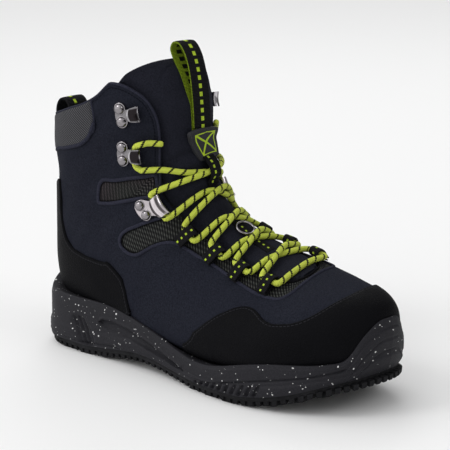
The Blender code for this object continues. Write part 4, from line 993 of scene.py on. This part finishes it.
def footbed():
    """Board in the cup: cupped at its rims and raised under the inner arch."""
    fs = np.linspace(.02, .60, 90)
    limits = [np.abs(at(fs, sign * feather(fs, sign))[:, 1])[:, None] for sign in MIRROR]
    share = np.linspace(-1, 1, 41)
    under = bare(fs, np.pi)
    y = np.where(share < 0, share * limits[0], share * limits[1]) * .985
    z = under[:, None, 2] + INSOLE_RISE - .0006 + .0030 * np.abs(share) ** 4
    z = z + .0035 * bell(fs[:, None], .42, .06) * ease(share, .1, .9)
    top = np.stack([np.repeat(under[:, :1], len(share), 1), y, z], -1)
    sheet_solid("footbed", top, top - np.array([0, 0, .0030]), [LINING], "insole")


def teeth():
    """Small lugs along the edge of the tread, 4 mm long every 6.6 mm, each a block with drawn-in foot."""
    out = outwards(OUTLINE)
    run = length_along(OUTLINE[:, :2])
    places = np.arange(4, run[-1] / MM - 6, 6.6) * MM
    rings = []
    for inset, height, length in ((.0016, .0008, 3.2), (.0008, .0022, 3.9), (.0006, LUG_DEPTH + .0012, 4.2)):
        corners = []
        for shift, depth in ((-1, 0), (1, 0), (1, .011), (-1, .011)):
            where = places + shift * length / 2 * MM
            edge = sampled(OUTLINE, run, where)
            flat = edge[:, :2] - sampled(out, run, where) * (inset + depth)
            corners.append(np.c_[flat, edge[:, 3] + height])
        rings.append(np.stack(corners, 1))
    index = np.arange(len(places) * 12).reshape(-1, 3, 4)
    quads = np.concatenate([rounds(index[:, :-1], index[:, 1:]), index[:, 0], index[:, 2, ::-1]])
    make("outsole_teeth", np.stack(rings, 1).reshape(-1, 3), quads, RUBBER, sharp=30)


cup()
footbed()
teeth()
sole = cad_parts["outsole"]
sole.data.materials.clear()
sole.data.materials.append(RUBBER)


# Hardware and webbing
def station(s, degrees, off, turn=0.0):
    """Origin and axes on the form: to the throat, up the form, outwards; turned about the last."""
    o, n = form(s, degrees, off)
    a = np.radians(degrees)
    step = bare(min(s + .004, 1), a) - bare(s - .004, a)
    step = unit(step - n * (step @ n))
    side = np.cross(step, n)
    toward = side if (bare(s, np.radians(degrees * .9)) - bare(s, a)) @ side > 0 else -side
    t = np.radians(turn)
    return o, toward * np.cos(t) + step * np.sin(t), step * np.cos(t) - toward * np.sin(t), n


# A hook's strip: to the throat, outwards and its width, in millimetres
HOOK_PATH = ((-4.6, .6, 3.0), (-4.2, .6, 7.0), (-3.0, .6, 12.0), (-1.2, .6, 15.6), (.6, .6, 16.2),
             (2.6, .6, 13.4), (4.6, .6, 9.4), (7.0, .6, 8.0), (9.6, .6, 8.8), (12.6, .7, 10.4),
             (14.8, 1.9, 11.0), (15.7, 3.9, 11.2), (14.9, 5.9, 11.2), (13.0, 6.9, 11.0), (10.8, 6.9, 10.6),
             (9.4, 7.1, 10.0), (8.2, 7.7, 8.6))
LOCK_WIDTHS = (3.0, 8.0, 11.4, 13.4, 13.8, 13.2, 12.6, 12.4, 13.0, 13.6, 14.0, 14.2, 14.2, 14.0, 13.8,
               13.4, 12.0)
LOCK_DROP = -6.6  # of the lip, down the hook's own axis, in millimetres
# Name, place s and angle, turn in degrees, size
HOOKS = (("hook_1", .861, 66.5, 0, 1.0), ("hook_2", .768, 69, 0, 1.0), ("hook_lock", .590, 57.5, 20, 1.12))
HOOK_UNIT = HOOK_REACH / 15.7  # a millimetre of the path
HOOK_STEEL = .0012
# A loop's tape, to the throat and outwards, in millimetres
LOOP_PATH = ((-8.5, .9), (-4, .9), (0, .9), (2.6, 1.0), (5.0, 1.5), (6.6, 2.8), (7.1, 4.5), (6.5, 6.1),
             (4.6, 7.1), (2.2, 7.2), (-1.5, 6.0), (-5.0, 4.1), (-8.5, 2.7))
LOOPS = ((.284, 24.5, -33), (.341, 27.5, -36.5), (.401, 31.5, -39.5), (.466, 39.5, -45.5))
# Rounds of a rivet: radius as a share of its own, height in millimetres where its own is 3.4 mm
RIVET = np.array([(1.0, -.8), (1.0, .15), (.97, .35), (.90, .45), (.84, .48), (.82, .70), (.79, 1.10),
                  (.70, 1.65), (.54, 2.1), (.34, 2.4), (.14, 2.52), (.02, 2.54)])


def rivet(o, u, v, n, radius):
    """Turned dome: rounds of radius r at height h, closed at its top."""
    t = np.linspace(0, 2 * np.pi, 32, endpoint=False)[None, :, None]
    ring = RIVET[:, None, :1] * radius * (np.cos(t) * u + np.sin(t) * v)
    grid = o + (ring + RIVET[:, None, 1:] * n * radius / 3.4)
    index = np.arange(len(RIVET) * 32).reshape(-1, 32)
    return make("rivet", grid.reshape(-1, 3), rounds(index[:-1], index[1:]), STEEL_DOME,
                caps=[index[0], index[-1][::-1]], sharp=45)


def hook(name, s, angle, turn, scale, sign, side):
    """Pressed strip: riveted plate, neck and curl; the lock hook's curl is wide and set lower."""
    lock = name == "hook_lock"
    o, toward, up, n = station(s, sign * angle, .0005, turn)
    k = scale * HOOK_UNIT
    rows = np.array(HOOK_PATH)
    if lock:
        rows[:, 2] = LOCK_WIDTHS
    c = curve(rows, 110)
    along, out, order = c[:, :1], c[:, 1:2], np.arange(110.)
    drop = LOCK_DROP * ease(along + 3 * (out > 3), 1.5, 11) if lock else 1.0 * ease(along, 3, 10)
    across = np.broadcast_to(up, (len(c), 3))
    profile = strap_profile(c[:, 2] * k, HOOK_STEEL, 9)
    # painted highlights: brightness painted where the steel catches the light, on the plate's rim, the fold,
    # the free end and the sides
    plate = 1 - ease(out, .62, 1.3)
    fold = ease(along, 14.3, 15.2) * (1 - ease(out, 4.2, 5.6))
    painted_highlight = np.maximum((.75 if lock else .45) * plate, np.maximum(fold, ease(order, 102, 106)[:, None]))
    beside = np.abs(profile[..., 0]) / np.abs(profile[..., 0]).max(1, keepdims=True)
    painted_highlight = np.maximum(painted_highlight, (.9 if lock else .5) * ease(beside, .82, .95) * (1 - plate * .3))
    if lock:
        # the lock hook's curl gets painted highlights in two bands across it and a fainter one along its sides
        highlight_band = ease(along, 9.4, 10.0) * (1 - ease(along, 12.4, 13.2)) + ease(along, 14.2, 14.8)
        curl = ease(out, 3.5, 5.5) * (1 - plate) > .5
        painted_highlight = np.where(curl, np.maximum(highlight_band, .5 * ease(beside, .86, .97)), painted_highlight)
    pieces = [sweep(name, o + toward * along * k + n * (out + .25) * k + up * drop * k, across,
                    square_to(o + toward * along * k + n * out * k, across), profile,
                    STEEL_BRIGHT if lock else STEEL, sharp=60, values={"rim": painted_highlight},
                    bow=(toward, (1.7 if lock else 1.5) * k * ease(order, 60, 84)))]
    for place in (-4.3, 3.4) if lock else (-4.0, 5.8):
        pieces.append(rivet(o + up * place * k + n * .0011 * scale, toward, up, n,
                            (.0038 if lock else .0047) * scale))
    with bpy.context.temp_override(active_object=pieces[0], object=pieces[0], selected_objects=pieces,
                                   selected_editable_objects=pieces):
        bpy.ops.object.join()
    pieces[0].name = name + "_steel_" + side
    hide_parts(name + "_" + side)


def lace_loop(name, s, angle):
    """Tape sewn down flat, out round the lace and back."""
    o, toward, up, n = station(s, angle, .0004)
    c = curve(LOOP_PATH, 60) * MM
    line = o + toward * c[:, :1] + n * c[:, 1:]
    across = up if np.cross(line[-1] - line[-2], up) @ n > 0 else -up
    across = np.broadcast_to(across, line.shape)
    profile = strap_profile(np.full(60, LOOP_WIDTH), TAPE_THICK)
    sweep(name + "_tape", line, across, square_to(line, across), profile, TAPE, node=name)


for row in HOOKS:
    for sign, side in SIDES:
        hook(*row, sign, side)
for k, (s, *angles) in enumerate(LOOPS):
    for angle, (sign, side) in zip(angles, SIDES):
        lace_loop("lace_loop_%d_%s" % (k + 1, side), s, angle)

# Lace: angles where it runs beside each loop, then its places between the loops as
# (s, angle on the side it leaves, a shift of that in degrees, lift in quarters of its thickness)
CHANNEL = ((21, -29.5), (24, -33), (28, -36), (36, -42))
CROSSINGS = (((.3075, 9, -4, 3.5), (.3190, -9, -4, 3.5)), ((.3640, 10, -4, 3.7), (.3770, -10, -4, 3.7)),
             ((.4250, 11, -4, 3.1), (.4400, -11, -4, 3.1)), ((.4940, 13, -3, 3.1), (.5140, -13, -3, 3.1)),
             ((.5720, 24, 0, 3.4), (.5620, 2, 0, 3.0), (.5900, -20, 0, 3.6), (.6450, -38, 0, 4.0)))
ENTRIES = (-.0175, -.0175, -.0195, -.0205)
ROUND_LOCK = ((14.2, -16.0, 4.0), (12.4, -12.0, 3.9), (11.8, -7.0, 3.9), (12.0, -1.5, 3.9), (14.0, 3.6, 4.0))
INTO_HOOK = ((17.5, -9.6, 4.2), (15.6, -9.4, 4.1))
ROUND_HOOK = ((15.4, -9.3, 4.1), (12.4, -7.6, 3.95), (11.1, -4.0, 3.9), (11.1, 4.0, 3.9), (12.6, 7.8, 3.95),
              (17.0, 9.8, 4.0))


def on_hook(which, sign, places):
    """Points by a hook, in its own millimetres: to the throat, up, outwards."""
    _, s, angle, turn, scale = HOOKS[which]
    o, toward, up, n = station(s, sign * angle, .0004, turn)
    return [o + (toward * a + up * b + n * c) * scale * HOOK_UNIT for a, b, c in places]


def over(s, a, lift):
    """Point over the form, lifted by quarters of the lace's thickness."""
    return at(s, a, lift * LACE / 4)


def half_lace(sign):
    """From the bar's end at loop 1 up to the mouth of hook 2 on the other side."""
    points, lift_more = [], {1: 1.9, -1: -.9}
    for k in range(5):
        if k < 4:
            angle = CHANNEL[k][0 if sign > 0 else 1]
            points += [over(LOOPS[k][0] + shift, angle, 4.1) for shift in (ENTRIES[k], 0, .0175)]
        more = lift_more[sign] * (1 if k < 4 else .6)
        points += [over(s, a * sign + shift, lift + more) for s, a, shift, lift in CROSSINGS[k]]
        sign = -sign
    return points[:-4] + on_hook(2, -sign, ROUND_LOCK) + points[-4:] + on_hook(1, sign, INTO_HOOK)


def lace():
    """The lace in one run from hook to hook: bar, loops and crossings."""
    bar = [over(.2650, a, 3.1) for a in (8, -3, -14)]
    line = dense_line(half_lace(1)[::-1] + bar + half_lace(-1))
    side, up = carried(line, (0, 0, 1) if abs(unit(line[1] - line[0])[2]) < .9 else (1, 0, 0))
    sweep("lace", line, side, up, round_profile(LACE_SEEN, LACE_SEEN, 14), CORD, sharp=70,
          node=["lace_bar"] + ["lace_cross_%d" % k for k in range(1, 6)])


def lace_end(sign, side, tip):
    """Free end round hook 2, thinned at its cut."""
    line = dense_line(on_hook(1, sign, ROUND_HOOK)
                      + [over(.750, sign * 47, 4.2), over(tip[0], sign * tip[1], 3.4)])
    taper = np.sqrt(np.clip(.35 + np.arange(len(line))[::-1] / 1.6, 0, 1))[:, None, None]
    profile = round_profile(LACE_SEEN, LACE_SEEN, 14)[None] * taper
    across, up = carried(line, (0, 0, 1))
    node = "lace_end_" + side
    end = sweep(node + "_cord", line, across, up, profile, CORD, node=node, sharp=70)


lace()
for (sign, side), tip in zip(SIDES, ((.722, 36), (.741, 22))):
    lace_end(sign, side, tip)


# On the tongue
def tongue_patch():
    """Moulded patch on four corners, its outline rounded, with a stitched box and cross, standing off."""
    corners = np.array([(.716, 16), (.722, -13), (.622, -23), (.597, 3.5)])
    u, v = np.linspace(0, 1, 60)[:, None], np.linspace(0, 1, 46)[None]
    soft = 1 - .085 * np.abs((2 * u - 1) * (2 * v - 1)) ** 7
    u, v = .5 + (u - .5) * soft, .5 + (v - .5) * soft
    top, low = (corners[i] * (1 - u[..., None]) + corners[j] * u[..., None] for i, j in ((0, 1), (3, 2)))
    s, a = np.moveaxis(top * (1 - v[..., None]) + low * v[..., None], -1, 0)
    p = at(s, a)
    wide, high = run_of(p, 0), run_of(p, 1)
    width, height = wide[-1:, :], high[:, -1:]
    edge = np.minimum(np.minimum(wide, width - wide), np.minimum(high, height - high))
    cu, cv = wide - width / 2, high - height / 2
    bu, bv = width / 2 - 4.6, height / 2 - 4.2
    box = np.abs(np.maximum(np.abs(cu) - bu, np.abs(cv) - bv))
    cross = np.minimum(np.abs(cu / bu - cv / bv), np.abs(cu / bu + cv / bv)) * 4.4
    within = (np.abs(cu) < bu + .4) & (np.abs(cv) < bv + .4)
    thread = np.maximum(np.clip(1.5 - box / .45, 0, 1), np.clip(1.5 - cross / .55, 0, 1) * within)
    lift = .0021 * quarter_round(edge, 1.2) - .0005 * bell(edge, 2.2, .5)
    rise = .0034 * (1 - ease(v + 0 * u, .05, .45)) + .0024 * u ** 2
    sheet_solid("tongue_patch_pad", at(s, a, .0002 + lift + rise), at(s, a, -.0012 + rise), [PATCH],
                "tongue_patch", values={"thread": thread})


def lace_keeper():
    """Tape arched over the lace in the tongue's middle, as (s, lift in tenths of a millimetre)."""
    rows = ((.618, 14), (.604, 40), (.588, 62), (.570, 70), (.554, 68), (.545, 50), (.538, 24), (.531, 12),
            (.523, 11))
    stations = [station(s, -4.0, lift / 1e4) for s, lift in rows]
    line = curve(np.array([o for o, *_ in stations]), 70)
    _, _, up, n = stations[4]
    across = np.broadcast_to(unit(np.cross(up, n)), line.shape)
    lift = square_to(line, across)
    turn = 1 if lift[35] @ n > 0 else -1
    profile = strap_profile(np.full(70, KEEPER_WIDTH), TAPE_THICK)
    sweep("lace_keeper_tape", line, turn * across, turn * lift, profile, TAPE_KEEPER, node="lace_keeper")


def ring_and_strap():
    """Strap down the tongue's middle and the oval steel ring that lies on it."""
    share = np.linspace(0, 1, 50)
    line, n = form(.423 + (.332 - .423) * share, -4.6 + .2 * share, .0010)
    profile = strap_profile(np.full(50, STRAP_WIDTH), .0011)
    sweep("ring_strap_tape", line, square_to(line, n), n, profile, TAPE, node="ring_strap")
    o, toward, up, n = station(.398, -5.0, .0030)
    t = np.linspace(0, 2 * np.pi, 72, endpoint=False)[:, None]
    arm = toward * np.cos(t) * 7.4 + up * np.sin(t) * 6.4
    line = o + arm * MM
    sweep("ring_steel", line, unit(arm), np.broadcast_to(n, line.shape), round_profile(.0018, .0018, 12),
          STEEL_DOME, closed=True, node="ring")


def pull(name, rows, y, width, across, materials, node, columns=None):
    """Webbing folded into a standing loop in the plane y; rows are x and z in hundredths of the sizes."""
    x, z = np.array(rows).T
    line = dense_line(np.stack([x * LENGTH / 100 - HEEL_CENTRE, np.full(len(x), y * BALL_WIDTH / 100),
                                BALL_STACK + z * UPPER_HEIGHT / 100], -1), .0011)
    across = np.broadcast_to(across, line.shape)
    profile = strap_profile(np.full(len(line), width), .0019)
    sweep(name, line, across, square_to(line, across), profile, materials, node=node, columns=columns)


tongue_patch()
lace_keeper()
ring_and_strap()
TURN = np.radians(12)
TONGUE_PULL = [(44.15, 72.3), (44.05, 74.6), (43.9, 78.2), (43.4, 82.5), (42.3, 87.0), (40.8, 91.6),
               (39.1, 95.8), (37.8, 99.0), (37.4, 101.2), (38.3, 103.2), (40.1, 103.0), (41.8, 100.0),
               (43.0, 95.6), (43.75, 90.5), (44.2, 85.2), (44.5, 80.4), (44.65, 76.4), (44.7, 74.4)]
HEEL_PULL = [(1.4, 64.7), (.3, 68.7), (-.4, 72.4), (-.1, 75.7), (1.1, 77.9), (2.7, 77.8), (3.9, 75.7),
             (4.3, 72.0), (4.5, 67.3)]
pull("tongue_pull_tape", TONGUE_PULL, 2.2, .0148, (np.sin(TURN), np.cos(TURN), 0),
     [TAPE_DASHED, TAPE_LIME], "tongue_pull", np.repeat([0, 1], 11))
pull("heel_pull_tape", HEEL_PULL, -.4, .020, (0, 1, 0), [TAPE_DASHED], "heel_pull")


# Floor, light and camera
def placed(name, data, place, aim):
    """Object at place that looks at aim."""
    made = bpy.data.objects.new(name, data)
    bpy.context.scene.collection.objects.link(made)
    made.location = place
    made.rotation_mode = "QUATERNION"
    made.rotation_quaternion = (made.location - Vector(aim)).to_track_quat("Z", "Y")
    return made


FLOOR = 3.0
ground = bpy.data.meshes.new("floor")
ground.from_pydata([(x * FLOOR, y * FLOOR, 0) for x, y in ((-1, -1), (1, -1), (1, 1), (-1, 1))], [],
                   [(0, 1, 2, 3)])
floor = bpy.data.objects.new("floor", ground)
bpy.context.scene.collection.objects.link(floor)
made, tree = begin("pale_floor", .9, .1)
tree.nodes["Principled BSDF"].inputs["Base Color"].default_value = srgb("#f2f2f2")
ground.materials.append(made)

# Studio light: brightest from above and the left of the picture, dimmest from its right
world = bpy.data.worlds.new("studio")
bpy.context.scene.world = world
world.use_nodes = True
tree = world.node_tree
way = add(tree, "TexCoord", out="Generated")
facing = add(tree, "VectorMath", (way, (-.72, -.60, .35)), "Value", operation="DOT_PRODUCT")
tree.nodes["Background"].inputs[0].default_value = srgb("#f2f2f2")
tree.links.new(add(tree, "MapRange", (facing, -.40, .80, .30, 1.50)), tree.nodes["Background"].inputs[1])
bpy.context.scene.view_settings.view_transform = "Standard"
for name, place, aim, size, watts in (("key", (-.6, -1.3, 1.6), (.08, 0, .1), .7, 7),
                                      ("front", (1.9, .2, 1.6), (.30, .2, 0), .9, 7),
                                      ("back", (-.8, 1.2, 1.5), (.08, 0, .12), .7, 4)):
    lamp = bpy.data.lights.new(name, "AREA")
    lamp.size, lamp.energy = size, watts
    placed(name, lamp, place, aim)

# Camera 1.4 m away, turned from the outer side to the toe, its picture's right and up beside it
azimuth, elevation = np.radians(42.0), np.radians(14.0)
back = np.array([np.sin(azimuth) * np.cos(elevation), -np.cos(azimuth) * np.cos(elevation), np.sin(elevation)])
right, upward = np.array([.743, .669, 0]), np.array([-.162, .180, .970])
target = np.array([.100, 0, .100])
data = bpy.data.cameras.new("camera")
data.sensor_width, data.lens = 36, 120.96 * 1.24
data.clip_start, data.clip_end = .05, 20
bpy.context.scene.camera = placed("camera", data, target + back * 1.4, target + right * .0182 + upward * .0074)

bpy.context.view_layer.update()
